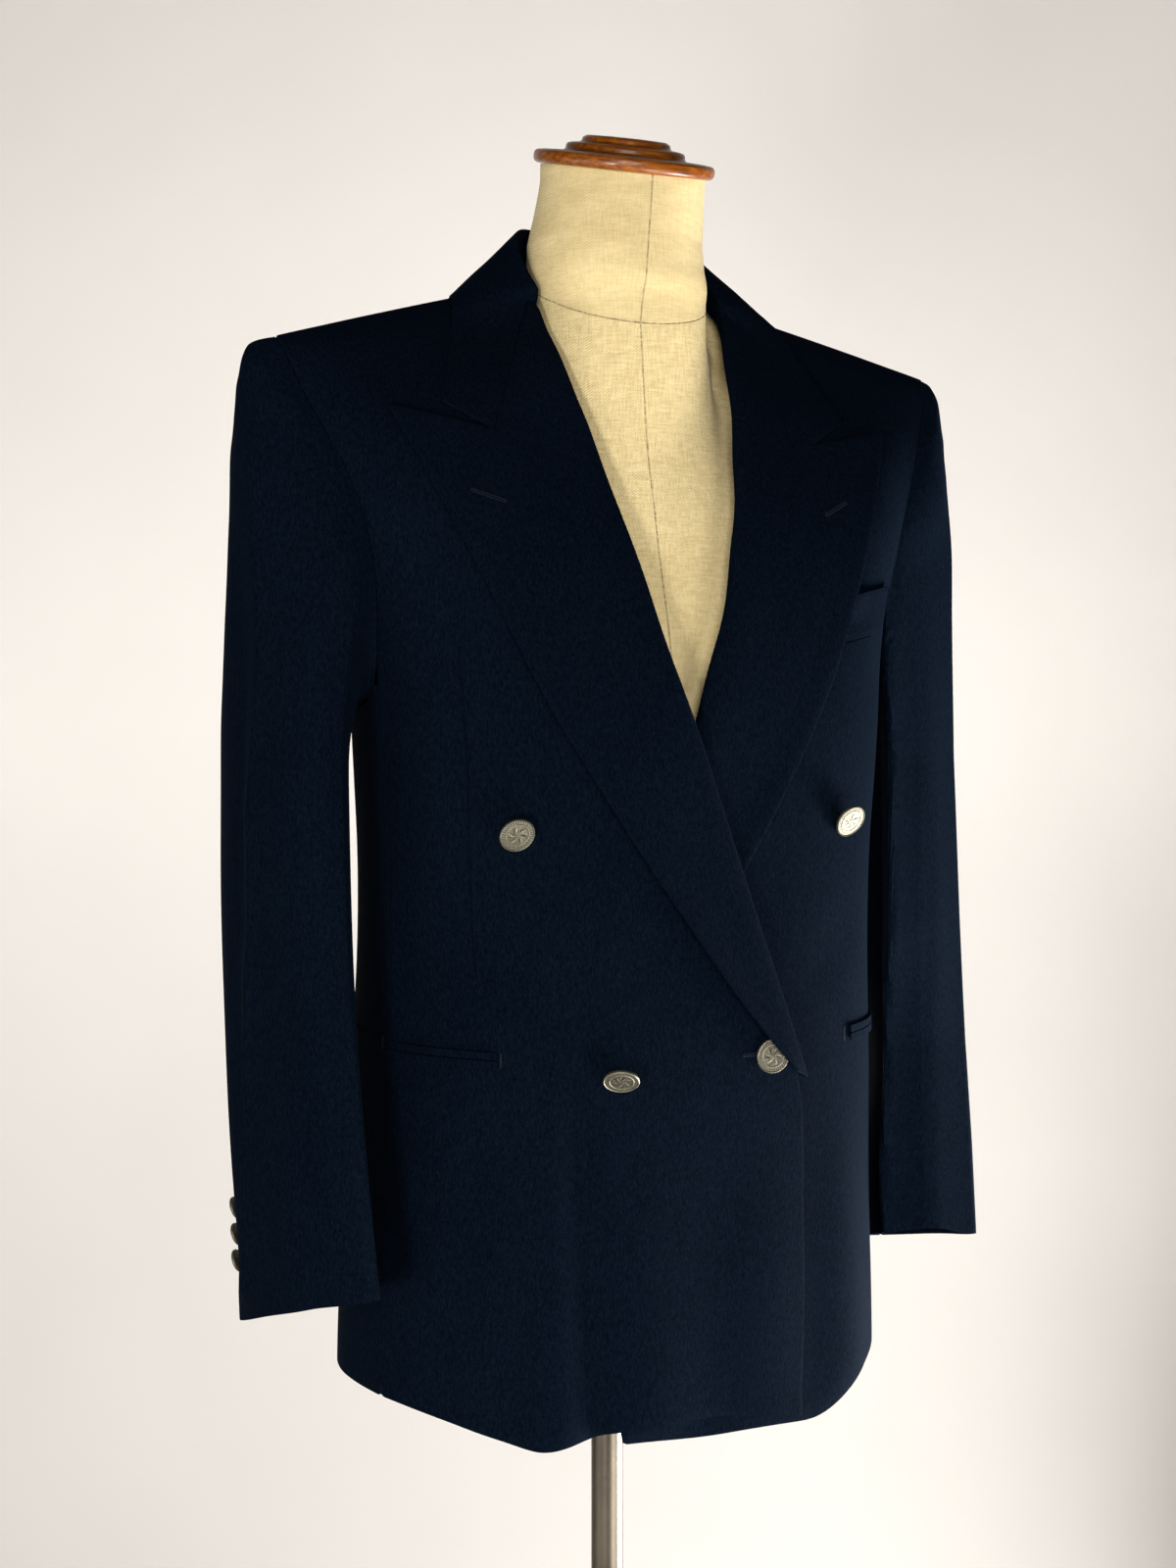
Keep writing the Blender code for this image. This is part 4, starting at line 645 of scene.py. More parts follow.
# %% [markdown]
# ## From a plain solid to a piece of cloth
#
# The solids are faceted: each is a grid of flat faces with a second skin one cloth's thickness
# behind it. Subdivision rounds such a grid, but it would also melt the cut edges away. So the
# sharp edges of the rim are picked by their angle and creased first. Then the grid is divided
# three times, which leaves faces of a few millimetres, small enough for a fold 15 mm wide.


# %% Cloth from a solid
SAME_POINT = 0.00002             # corners closer than this are one


def copy_solid(node, name):
    """A clean copy of a solid's mesh, in an object of its own."""
    piece = bpy.data.objects.new(name, frame["nodes"][node].data.copy())
    bpy.context.collection.objects.link(piece)
    only(piece)
    bpy.ops.mesh.customdata_custom_splitnormals_clear()
    edit(piece)
    bpy.ops.mesh.select_all(action="SELECT")
    bpy.ops.mesh.remove_doubles(threshold=SAME_POINT)
    object_mode()
    return piece


def grid_again(piece, flatness=40.0):
    """Join the triangles back into the quads of the grid."""
    edit(piece)
    bpy.ops.mesh.select_all(action="SELECT")
    bpy.ops.mesh.tris_convert_to_quads(
        face_threshold=math.radians(flatness), shape_threshold=math.radians(80))
    object_mode()


def crease_rim(piece, sharp=60.0, crease=0.85):
    edit(piece, "EDGE")
    bpy.ops.mesh.edges_select_sharp(sharpness=math.radians(sharp))
    bpy.ops.transform.edge_crease(value=crease)
    object_mode()


def smooth_all(piece, angle=50.0):
    only(piece)
    bpy.ops.object.shade_smooth_by_angle(angle=math.radians(angle))


def cloth_piece(node, part, material, levels=3):
    piece = copy_solid(node, node + "_cloth")
    grid_again(piece)
    crease_rim(piece)
    finish_with(piece, "SUBSURF", levels=levels, render_levels=levels)
    move_points(piece, hang(points_of(piece), part))
    smooth_all(piece)
    dress(piece, material)
    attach(piece, "root")
    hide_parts(node)
    print(piece.name, len(piece.data.polygons), "faces")
    return piece


# %% [markdown]
# ## Fronts, sides and backs
#
# Six panels make the body: two fronts that overlap, two narrow sides under the arms and two backs
# with a seam down the middle. Each hangs from the shoulder seam over the form. Their cut edges lie
# side by side with a hair's gap, which reads as the pressed-open seam.

# %% The body's panels
PANEL_CUTS = {       # width, length and the share of that rectangle the cut fills
    "front": (0.340, 0.780, 0.66),
    "side": (0.088, 0.480, 0.80),
    "back": (0.235, 0.760, 0.87),
}
body_cloth = {}
for side in ("right", "left"):
    for panel, (width, length, share) in PANEL_CUTS.items():
        node = f"{panel}_{side}"
        finish = {"front_right": wool_front_right, "front_left": wool_front_left}.get(node, wool)
        body_cloth[node] = cloth_piece(node, "body", finish)

# %% [markdown]
# ## Sleeves
#
# A tailored sleeve is two pieces: a wide top sleeve and a narrow under sleeve, curved like a
# hanging arm. Empty, the right one keeps its pressed shape, breaks softly at the elbow and shows
# a long pressed ridge down the outside. The left one hangs flat, as worked out above.

# %% The sleeves
SLEEVE_CUTS = {"top_sleeve": (0.220, 0.640, 0.82), "under_sleeve": (0.135, 0.500, 0.84)}
sleeve_cloth = {}
for side in ("right", "left"):
    for panel, (width, length, share) in SLEEVE_CUTS.items():
        node = f"{panel}_{side}"
        sleeve_cloth[node] = cloth_piece(node, side, wool)
print("sleeve panels:", len(sleeve_cloth))

# %% [markdown]
# ## Sewing one edge to another
#
# A set-in sleeve is sewn to the armhole, and the collar to the lapels. Smoothing has drawn each
# edge back a little, so a dark gap would show where a needle leaves a shut seam. Each point near
# the other piece is moved towards it by the width of that gap, and points further off by less.


# %% Drawing an edge shut
def joined_faces(pieces):
    """The corners and faces of several pieces in one list."""
    corners, faces = [], []
    for piece in pieces:
        first = len(corners)
        corners += [v.co.copy() for v in piece.data.vertices]
        faces += [[first + v for v in face.vertices] for face in piece.data.polygons]
    return corners, faces


SHUT = 0.0004                    # edges this close are left alone
LEFT_OPEN = 0.0003               # and no edge is drawn closer than this
SEARCH_MORE = 0.003              # the search goes a little past the point where the draw ends


def draw_to(piece, others, gap, near, far, above):
    """Move a piece towards others by the gap between them, fading with distance."""
    tree = BVHTree.FromPolygons(*joined_faces(others))
    moved = points_of(piece).copy()
    for k, spot in enumerate(moved):
        if spot[2] < above:
            continue
        place, _, _, apart = tree.find_nearest(Vector(spot), far + SEARCH_MORE)
        if place is None or apart < SHUT:
            continue
        draw = gap * (1.0 - float(ease(near, far, apart)))
        moved[k] += (np.array(place) - spot) / apart * min(draw, apart - LEFT_OPEN)
    move_points(piece, moved)


# %% The sleeves are set in
SLEEVE_SEAM = {"gap": 0.0019, "near": 0.0026, "far": 0.013, "above": 1.243}
for side in ("right", "left"):
    around = [body_cloth[f"{panel}_{side}"] for panel in PANEL_CUTS]
    for panel in SLEEVE_CUTS:
        draw_to(sleeve_cloth[f"{panel}_{side}"], around, **SLEEVE_SEAM)
print("armholes: a gap of", 1000 * SLEEVE_SEAM["gap"], "mm drawn shut")

# %% [markdown]
# ## Lapels and collar
#
# The lapels are the top of each front turned over on the roll line, faced with a second layer of
# cloth. They carry a horsehair canvas, so they spring off the chest in one soft curve and lie flat
# only at the edge. The collar is a stand with a fall that turns down over it and meets the lapel
# at the gorge seam. They use the same steps as the panels, with the grain following their edge.

# %% Lapels and collar
GORGE_SEAM = {"gap": 0.0007, "near": 0.0012, "far": 0.006, "above": 1.36}
lapel_right = cloth_piece("lapel_right", "body", wool_lapel_right)
lapel_left = cloth_piece("lapel_left", "body", wool_lapel_left)
collar = cloth_piece("collar", "body", wool)
draw_to(collar, [lapel_right, lapel_left], **GORGE_SEAM)

# %% [markdown]
# ## The lapels' free edges
#
# A lapel is two layers with a seam allowance between them, so its edge is the thickest part and
# springs a little off the front. The edge is a short path again, and points near it are lifted.

# %% Lifting the edges
# (x, height) along the left lapel's edge; the right one's is its mirror image.
LAPEL_EDGE = (
    (-0.0625, 1.0010), (-0.0393, 1.0226), (-0.0150, 1.0572), (0.0307, 1.1225), (0.0715, 1.1887),
    (0.1192, 1.2820), (0.1590, 1.3694), (0.1825, 1.4235),
)
EDGE_REACH = 0.012
EDGE_LIFT = {"right": 0.0010, "left": 0.0022}


def lift_edge(piece, side):
    hand = 1 if side == "left" else -1
    spots = points_of(piece).copy()
    gap, _ = distance_to_path(spots[:, [0, 2]], [(hand * x, z) for x, z in LAPEL_EDGE])
    out = spots[:, :2] - np.array(BODY_AXIS)
    out /= np.linalg.norm(out, axis=1)[:, None]
    lift = EDGE_LIFT[side] * np.exp(-(gap / EDGE_REACH) ** 2)
    spots[:, :2] += out * lift[:, None]
    move_points(piece, spots)


lift_edge(lapel_right, "right")
lift_edge(lapel_left, "left")
print("lapel edges lifted by", [1000 * lift for lift in EDGE_LIFT.values()], "mm")

# %% [markdown]
# ## Pockets
#
# A jetted pocket is a slit bound by two folded strips, the jets, that meet like lips. The breast
# pocket has one wide strip, the welt, which stands up over its slit and gapes a little at the top.
# Each is a strip with soft edges, so its solid is divided like the panels, and the welt's top edge
# is eased outwards.

# %% Pocket strips
pocket_strips = []
for side in ("right", "left"):
    for lip in ("upper", "lower"):
        strip = cloth_piece(f"pocket_jet_{lip}_{side}", "body", wool)
        pocket_strips.append(strip)

# %% The breast welt gapes
WELT_GAPE = 0.0042               # how far its top edge stands off
GAPE_WAY = (0.55, -0.83)         # forwards and to the wearer's left
GAPE_OPENS = (0.085, 0.130)      # x between which the gape opens
GAPE_SHUTS = (0.135, 0.155)      # and between which most of it shuts again, at the sewn end
GAPE_SHUT_SHARE = 0.85
GAPE_UP = (0.006, 0.028)         # heights over the welt's foot between which it leans out
WELT_LOW_END = (0.080, 1.2745)   # (x, z) of the foot's lower end
WELT_RISE = 0.158                # the foot's rise towards the arm

welt = cloth_piece("breast_welt", "body", wool)
spots = points_of(welt)
along = ease(*GAPE_OPENS, spots[:, 0]) * (1 - GAPE_SHUT_SHARE * ease(*GAPE_SHUTS, spots[:, 0]))
foot = WELT_LOW_END[1] + WELT_RISE * (spots[:, 0] - WELT_LOW_END[0])
up = ease(*GAPE_UP, spots[:, 2] - foot)
gape = WELT_GAPE * up * along
for k, share in enumerate(GAPE_WAY):
    spots[:, k] += gape * share
move_points(welt, spots)
print("pockets:", len(pocket_strips) + 1, "strips")

# %% [markdown]
# ## The linen form
#
# A tailor's form is padded and covered in unbleached linen, sewn from panels with a seam down the
# centre front and another round the root of the neck. Its weave is coarse enough to see: a fine
# diagonal rib with slubs of thicker yarn. A slanting wave makes the rib, noise stretched both ways
# the slubs, and the seams are drawn as thin grooves with painted shade where the panels really meet.

# %% Linen
LINEN_DARK = (0.330, 0.250, 0.115)
LINEN_MID = (0.560, 0.440, 0.215)
LINEN_LIGHT = (0.730, 0.610, 0.335)
# the colour of the painted shade in the sunk seams
SEAM_SHADE = (0.115, 0.080, 0.038)
RIB_PER_METRE = 760.0
WAVES_AT_SCALE_ONE = 3.2         # waves in a metre that a wave texture of scale 1 draws
RIB_SLANT = math.radians(38)
SLUBS_PER_METRE = 900.0
WEAVE_HEIGHT = 0.0005
SEAM_HEIGHT = 0.0008
SEAM_X = (-0.0050, -0.0145, -0.0055)         # centre seam at the neck's top, its root, the chest
SEAM_Z = (1.5841, 1.4855, 1.300)
CENTRE_SEAM_HALF = 0.00072
NECK_SEAM_HALF = 0.00081
NECK_ROOT = (1.5180, 0.055, 0.418)           # height of the neck seam, and its rise over x and y
CHEST_CONTRAST, NECK_CALM = 0.80, 0.35       # the neck's closer cloth shows less of its weave
RUB_SLANT = math.radians(-32)
RUB_CONTRAST = 0.16
LINEN_FINISH = {"Roughness": 0.92, "Specular IOR Level": 0.18, "Sheen Weight": 0.06}


def linen_weave(tree, place):
    """Diagonal ribs, slubs of thicker yarn both ways, and specks."""
    rib = tree.nodes.new("ShaderNodeTexWave")
    rib.bands_direction = "Z"
    set_inputs(rib, {"Scale": RIB_PER_METRE / WAVES_AT_SCALE_ONE, "Distortion": 1.6, "Detail": 2.0})
    tree.links.new(object_mapping(tree, turn=(0.0, RIB_SLANT, 0.0)), rib.inputs["Vector"])
    weft = noise(tree, object_mapping(tree, (0.12, 0.12, 1.0)), SLUBS_PER_METRE, 2.0)
    warp = noise(tree, object_mapping(tree, (1.0, 1.0, 0.10)), SLUBS_PER_METRE, 2.0)
    speck = noise(tree, place, 1500.0, 2.0, 0.7)
    return mixture(tree, (speck, 0.24), (rib.outputs["Fac"], 0.16), (weft, 0.30), (warp, 0.30))


def centre_seam(tree, x, z):
    """The centre seam bends at the root of the neck, so it is two straight runs."""
    over_root = maths(tree, "SUBTRACT", z, SEAM_Z[1])
    upper, lower = [
        maths(tree, "MULTIPLY_ADD", over_root,
              (SEAM_X[k] - SEAM_X[k + 1]) / (SEAM_Z[k] - SEAM_Z[k + 1]), SEAM_X[1])
        for k in (0, 1)]
    above = maths(tree, "GREATER_THAN", z, SEAM_Z[1])
    below = maths(tree, "SUBTRACT", 1.0, above)
    wanted = maths(tree, "ADD", maths(tree, "MULTIPLY", upper, above),
                   maths(tree, "MULTIPLY", lower, below))
    off = maths(tree, "ABSOLUTE", maths(tree, "SUBTRACT", x, wanted))
    return thin_line(tree, off, CENTRE_SEAM_HALF)


def linen_material():
    material, tree, shader = new_material("unbleached_linen")
    place = tree.nodes.new("ShaderNodeTexCoord").outputs["Object"]
    parts = tree.nodes.new("ShaderNodeSeparateXYZ")
    tree.links.new(place, parts.inputs["Vector"])
    x, y, z = parts.outputs
    weave = linen_weave(tree, place)
    cloud = noise(tree, place, 16.0, 4.0, 0.55)

    # The neck seam rises from the front round to the sides and the back. Above it the cloth is
    # closer than on the chest, and rubbed pale in slanting streaks.
    rise = maths(tree, "MULTIPLY_ADD", x, NECK_ROOT[1], NECK_ROOT[0])
    rise = maths(tree, "MULTIPLY_ADD", y, NECK_ROOT[2], rise)
    neck = maths(tree, "GREATER_THAN", z, rise)
    contrast = maths(tree, "MULTIPLY_ADD", neck, -NECK_CALM, CHEST_CONTRAST)
    streaks = noise(tree, object_mapping(tree, (1.0, 1.0, 4.0), (0.0, RUB_SLANT, 0.0)), 26.0, 3.0, 0.6)
    rubbed = maths(tree, "MULTIPLY", maths(tree, "SUBTRACT", streaks, 0.5),
                   maths(tree, "MULTIPLY", neck, RUB_CONTRAST))
    tone = maths(tree, "MULTIPLY_ADD", maths(tree, "SUBTRACT", weave, 0.5), contrast,
                 maths(tree, "MULTIPLY_ADD", cloud, 0.16, 0.44))
    colour = ramp(tree, maths(tree, "ADD", tone, rubbed), (
        (0.34, LINEN_DARK), (0.50, LINEN_MID), (0.64, LINEN_LIGHT)))

    # Both seams are broken up by their stitches, sunk into the cloth and darkened with painted shade.
    neck_seam = thin_line(
        tree, maths(tree, "ABSOLUTE", maths(tree, "SUBTRACT", z, rise)), NECK_SEAM_HALF)
    stitches = maths(tree, "MULTIPLY_ADD", noise(tree, place, 420.0, 1.0), 1.6, -0.15)
    seam = maths(tree, "MULTIPLY", maths(tree, "MAXIMUM", centre_seam(tree, x, z), neck_seam),
                 stitches, clamp=True)
    shaded = darken_with_painted_shade(tree, colour, maths(tree, "MULTIPLY", seam, 0.70), SEAM_SHADE)
    fine = bump(tree, weave, WEAVE_HEIGHT, 0.6)
    groove = bump(tree, maths(tree, "SUBTRACT", 1.0, seam), SEAM_HEIGHT, 1.0, fine)
    finish_shader(tree, shader, LINEN_FINISH, shaded, groove)
    return material


linen = linen_material()
print("linen: a rib every", round(1000 / RIB_PER_METRE, 2), "mm")

# %% The padded form
form = copy_solid("form_torso", "linen_form")
grid_again(form, 50.0)
crease_rim(form, 50.0, 0.7)
finish_with(form, "SUBSURF", levels=3, render_levels=3)

# %% The neck settles
NECK_MIDDLE = (0.0, -0.0200)
NECK_WIDENING = 0.055            # the neck widens a little towards its root, under the collar
NECK_TOP, NECK_BOTTOM = (1.593, 1.535), (1.500, 1.520)   # heights over which that comes and goes
NECK_LEAN = (                    # (height, how far the neck leans there)
    (1.500, 0.0), (1.510, -0.0008), (1.527, -0.0036), (1.545, -0.0042), (1.565, -0.0016),
    (1.590, 0.0014),
)
NECK_LEAN_WAY = (0.893, -0.449)  # to the wearer's left and a little forwards
NECK_DROP = 0.0022               # the padding has sunk under the cap
NECK_DROP_ZONE = (1.520, 1.580)

spots = points_of(form).copy()
widen = ease(*NECK_TOP, spots[:, 2]) * ease(*NECK_BOTTOM, spots[:, 2])
lean = np.interp(spots[:, 2], *np.array(NECK_LEAN).T)
for k, (middle, share) in enumerate(zip(NECK_MIDDLE, NECK_LEAN_WAY)):
    spots[:, k] += (spots[:, k] - middle) * NECK_WIDENING * widen
    spots[:, k] += lean * share
spots[:, 2] -= NECK_DROP * ease(*NECK_DROP_ZONE, spots[:, 2])
move_points(form, spots)
smooth_all(form, 40.0)
dress(form, linen)
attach(form, "root")
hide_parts("form_torso")
print("form:", len(form.data.polygons), "faces")

# %% [markdown]
# ## Turned wood
#
# The neck ends in a disc turned on a lathe: a thick, rounded rim, then two smaller steps. A lathe
# sweeps one profile round an axis, and so does spin. The profile's corners are rounded first,
# because a turner's tool never leaves a knife edge. The wood is a reddish brown, and the varnish
# gives hard, clear highlights over soft grain.

# %% Varnished wood
CAP_SEAT = Vector((0.0013, -0.0206, 1.5943))  # middle of the cap's underside
CAP_TILT = math.radians(13.3)
WOOD_COLOURS = (
    (0.30, (0.045, 0.008, 0.001)), (0.50, (0.170, 0.044, 0.003)), (0.70, (0.310, 0.098, 0.007)),
)
WOOD_FINISH = {
    "Roughness": 0.38, "Specular IOR Level": 0.25, "Coat Weight": 0.20, "Coat Roughness": 0.14,
}


def wood_material():
    material, tree, shader = new_material("varnished_wood")
    grain_map = object_mapping(tree, (3.0, 26.0, 40.0), (0.1, 0.0, 0.35))
    streaks = noise(tree, grain_map, 9.0, 6.0, 0.6)
    pores = noise(tree, object_mapping(tree, (30.0, 240.0, 240.0)), 3.0, 2.0)
    tone = mixture(tree, (streaks, 0.8), (pores, 0.2))
    finish_shader(tree, shader, WOOD_FINISH, ramp(tree, tone, WOOD_COLOURS),
                  bump(tree, pores, 0.0002, 0.3))
    return material


wood = wood_material()


# %% Turning on a lathe
ON_AXIS = 0.000005               # turned corners closer than this are one


def lathe(name, profile, steps):
    """Draw a profile of (radius, height) point by point, then spin it round the upright axis."""
    bpy.ops.object.select_all(action="DESELECT")
    bpy.ops.mesh.primitive_plane_add(size=0.01)
    piece = bpy.context.active_object
    piece.name = name
    edit(piece)
    object_mode()
    for vertex in piece.data.vertices:
        vertex.select = vertex.index > 0
    bpy.ops.object.mode_set(mode="EDIT")
    bpy.ops.mesh.delete(type="VERT")
    object_mode()
    piece.data.vertices[0].co = (profile[0][0], 0.0, profile[0][1])
    bpy.ops.object.mode_set(mode="EDIT")
    bpy.ops.mesh.select_all(action="SELECT")
    for (r0, z0), (r1, z1) in zip(profile[:-1], profile[1:]):
        bpy.ops.mesh.extrude_vertices_move(
            TRANSFORM_OT_translate={"value": (r1 - r0, 0.0, z1 - z0)})
    bpy.ops.mesh.select_all(action="SELECT")
    bpy.ops.mesh.spin(steps=steps, angle=2 * math.pi, center=(0, 0, 0), axis=(0, 0, 1))
    bpy.ops.mesh.select_all(action="SELECT")
    bpy.ops.mesh.remove_doubles(threshold=ON_AXIS)
    bpy.ops.mesh.select_all(action="SELECT")
    bpy.ops.mesh.normals_make_consistent(inside=False)
    object_mode()
    return piece


def stand_at(piece, place):
    piece.matrix_world = place
    bpy.context.view_layer.update()
    settle(piece)


# %% The neck cap
CAP_PROFILE = (      # radius, height; the rim, two steps and a slight dish on top
    (0.0, 0.0), (0.0560, 0.0000), (0.0578, 0.0000), (0.0599, 0.0010), (0.0608, 0.0028),
    (0.0610, 0.0050), (0.0606, 0.0072), (0.0594, 0.0086), (0.0572, 0.0092), (0.0556, 0.0089),
    (0.0548, 0.0095), (0.0470, 0.0100), (0.0414, 0.0103), (0.0402, 0.0114), (0.0400, 0.0138),
    (0.0388, 0.0154), (0.0376, 0.0153), (0.0370, 0.0158), (0.0335, 0.0163), (0.0312, 0.0165),
    (0.0298, 0.0175), (0.0294, 0.0196), (0.0268, 0.0212), (0.0140, 0.0217), (0.0, 0.0217),
)
cap = lathe("turned_neck_cap", CAP_PROFILE, 72)
finish_with(cap, "BEVEL", width=0.0005, segments=2, limit_method="ANGLE",
            angle_limit=math.radians(28))
stand_at(cap, Matrix.Translation(CAP_SEAT) @ Matrix.Rotation(CAP_TILT, 4, "X"))
smooth_all(cap, 35.0)
dress(cap, wood)
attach(cap, "root")
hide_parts("neck_cap")
print("cap:", len(cap.data.polygons), "faces")

# %% [markdown]
# ## The steel pole and foot
#
# The form slides on a plain tube with a brushed finish, and the tube stands in a flat disc with a
# short socket and a set screw. Brushing leaves fine scratches round the tube, which noise
# stretched the long way round gives, and they blur the highlight into a soft upright band.


# %% Brushed steel
STEEL_COLOURS = ((0.35, (0.062, 0.052, 0.040)), (0.65, (0.118, 0.101, 0.078)))


def steel_material():
    material, tree, shader = new_material("brushed_steel")
    scratches = noise(tree, object_mapping(tree, (1.0, 1.0, 9.0)), 160.0, 3.0)
    smudges = noise(tree, object_mapping(tree, (1.0, 1.0, 0.4)), 30.0, 2.0)
    finish_shader(tree, shader, {"Metallic": 1.0}, ramp(tree, smudges, STEEL_COLOURS),
                  bump(tree, scratches, 0.0001, 0.4))
    tree.links.new(maths(tree, "MULTIPLY_ADD", scratches, 0.25, 0.24), shader.inputs["Roughness"])
    return material


steel = steel_material()

# %% Pole, foot and set screw
POLE_RADIUS = 0.011
POLE_CHAMFER = 0.0005
POLE_FOOT, POLE_TOP = 0.0583, 0.8647
SCREW_PLACE = (0.0, -0.0201, 0.042)          # in the front of the socket
BASE_PROFILE = (
    (0.0, 0.0), (0.1880, 0.0), (0.1900, 0.0030), (0.1900, 0.0080), (0.1860, 0.0115),
    (0.1840, 0.0118), (0.0460, 0.0168), (0.0420, 0.0170), (0.0240, 0.0210), (0.0205, 0.0280),
    (0.0200, 0.0300), (0.0200, 0.0530), (0.0204, 0.0540), (0.0200, 0.0560), (0.0180, 0.0580),
    (0.0, 0.0580),
)
pole = lathe("steel_pole", (
    (0.0, POLE_FOOT), (POLE_RADIUS - POLE_CHAMFER, POLE_FOOT),
    (POLE_RADIUS, POLE_FOOT + POLE_CHAMFER), (POLE_RADIUS, POLE_TOP - POLE_CHAMFER),
    (POLE_RADIUS - POLE_CHAMFER, POLE_TOP), (0.0, POLE_TOP)), 48)
base = lathe("round_foot", BASE_PROFILE, 96)
finish_with(base, "BEVEL", width=0.0006, segments=3, limit_method="ANGLE",
            angle_limit=math.radians(20))
screw = lathe("set_screw", (
    (0.0, -0.006), (0.0024, -0.006), (0.0024, 0.0), (0.0052, 0.0002), (0.0055, 0.0012),
    (0.0055, 0.0050), (0.0048, 0.0060), (0.0016, 0.0061), (0.0, 0.0061)), 24)
stand_at(screw, Matrix.Translation(SCREW_PLACE) @ Matrix.Rotation(math.pi / 2, 4, "X"))
for piece in (pole, base, screw):
    smooth_all(piece, 35.0)
    dress(piece, steel)
    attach(piece, "root")
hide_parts("pole")
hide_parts("stand_base")
print("stand:", sum(len(p.data.polygons) for p in (pole, base, screw)), "faces")

# %% [markdown]
# ## Buttons
#
# Shank buttons stamped from a disc of white metal: a thin rim, a beaded band, a plain ring and a
# low rosette. The relief is shallow and worn, so it reads as fine changes of tone. One is turned
# and its relief pressed in by a rule of angle and radius. It then goes to all ten places, at two
# sizes. How high each point stands is kept with the mesh, and the finish reads it.


# %% Worn silver
SILVER_COLOURS = (
    (0.25, (0.012, 0.010, 0.007)), (0.52, (0.074, 0.068, 0.048)), (0.85, (0.210, 0.200, 0.152)),
)


def silver_material():
    material, tree, shader = new_material("worn_silver")
    relief = tree.nodes.new("ShaderNodeAttribute")
    relief.attribute_name = "relief"
    grime = noise(tree, object_mapping(tree), 1300.0, 3.0, 0.65)
    height = mixture(tree, (grime, 0.35), (relief.outputs["Fac"], 0.70))
    finish_shader(tree, shader, {"Metallic": 0.85}, ramp(tree, height, SILVER_COLOURS),
                  bump(tree, grime, 0.0001, 0.6))
    tree.links.new(maths(tree, "MULTIPLY_ADD", grime, 0.25, 0.42), shader.inputs["Roughness"])
    return material


silver = silver_material()

# %% One button, stamped
BUTTON_RADIUS = 0.0115
BUTTON_STEPS = 144
BUTTON_FACE = (      # share of the radius, height; only the front takes relief
    (0.0, 0.0000), (0.20, 0.0000), (0.20, 0.0016), (0.80, 0.0018), (0.96, 0.0022), (1.00, 0.0029),
    (1.00, 0.0037), (0.985, 0.0043), (0.955, 0.0046), (0.925, 0.0044), (0.90, 0.0041),
    (0.87, 0.0041), (0.83, 0.0042), (0.79, 0.0042), (0.75, 0.0041), (0.71, 0.0042), (0.68, 0.0045),
    (0.65, 0.0045), (0.62, 0.0042), (0.57, 0.0042), (0.51, 0.0042), (0.45, 0.0043), (0.39, 0.0043),
    (0.33, 0.0043), (0.27, 0.0043), (0.21, 0.0044), (0.15, 0.0044), (0.09, 0.0045), (0.0, 0.0045),
)
FRONT_HEIGHT = (0.0036, 0.0040)  # the relief begins between these heights
BEADS = 36
PETALS = 8
PETAL_TWIST = 9                  # turns the petals into a rosette
PETAL_BREAKS = 3
BEAD_BAND = (0.80, 0.08)         # middle and half width of each band, as shares of the radius
PLAIN_RING = (0.665, 0.05)
RIM_RING = (0.96, 0.05)
PETAL_BAND = (0.32, 0.28)
RELIEF_DEPTH = 0.00022
DISC_MIDDLE = 0.0031             # height of the disc's middle over its foot


def band(share, middle, half):
    """1 at the middle of a ring-shaped band, fading to 0 at its edges."""
    return np.clip(1 - np.abs(share - middle) / half, 0, 1)


def stamped_button():
    button = lathe("button_pattern", [(s * BUTTON_RADIUS, z) for s, z in BUTTON_FACE], BUTTON_STEPS)
    spots = points_of(button).copy()
    share = np.hypot(spots[:, 0], spots[:, 1]) / BUTTON_RADIUS
    angle = np.arctan2(spots[:, 1], spots[:, 0])
    front = ease(*FRONT_HEIGHT, spots[:, 2])
    beads = band(share, *BEAD_BAND) * np.cos(BEADS * angle)
    ring = band(share, *PLAIN_RING) + band(share, *RIM_RING)
    petals = band(share, *PETAL_BAND) * np.cos(PETALS * angle + PETAL_TWIST * share)
    petals *= np.cos(PETAL_BREAKS * angle)
    pattern = np.clip(beads + petals, -1, 1)
    spots[:, 2] += front * RELIEF_DEPTH * pattern
    move_points(button, spots)
    relief = button.data.attributes.new("relief", "FLOAT", "POINT")
    worn = np.clip(0.5 + 0.45 * pattern + 0.35 * ring, 0, 1)
    relief.data.foreach_set("value", worn.astype(np.float32))
    smooth_all(button, 40.0)
    dress(button, silver)
    return button


button_pattern = stamped_button()


# %% The ten places
# A shank button droops: its face tips down and its lower edge comes to rest near the cloth.
# Each front button has the middle of its disc and the way its face looks.
HANGING = {
    "front_button_1": ((-0.1225, -0.1163, 1.1579), (-0.088, -0.883, -0.461)),
    "front_button_2": ((0.1238, -0.1128, 1.1604), (0.162, -0.869, -0.468)),
    "front_button_3": ((-0.0633, -0.1426, 1.0044), (-0.308, -0.592, -0.745)),
    "front_button_4": ((0.0500, -0.1366, 1.0116), (-0.100, -0.990, -0.080)),
}
CUFF_LOOK = (0.70, 0.62, -0.35)  # on the left cuff; the right one is its mirror image
CUFF_STAND_OFF = 0.0023
CUFF_RADIUS = 0.0075
CUFF_SIZE = CUFF_RADIUS / BUTTON_RADIUS
NEXT_TURN = 0.7                  # each button is sewn on turned a little further than the last


def face_of(node, axis):
    """The middle of a button and the way its solid looks."""
    corners = points_of(frame["nodes"][node])
    middle = corners.mean(axis=0)
    _, _, ways = np.linalg.svd(corners - middle, full_matrices=False)
    outward = np.array((middle[0] - axis[0], middle[1] - axis[1], 0.0))
    way = ways[2] if ways[2] @ outward > 0 else -ways[2]
    return Vector(middle), Vector(way)


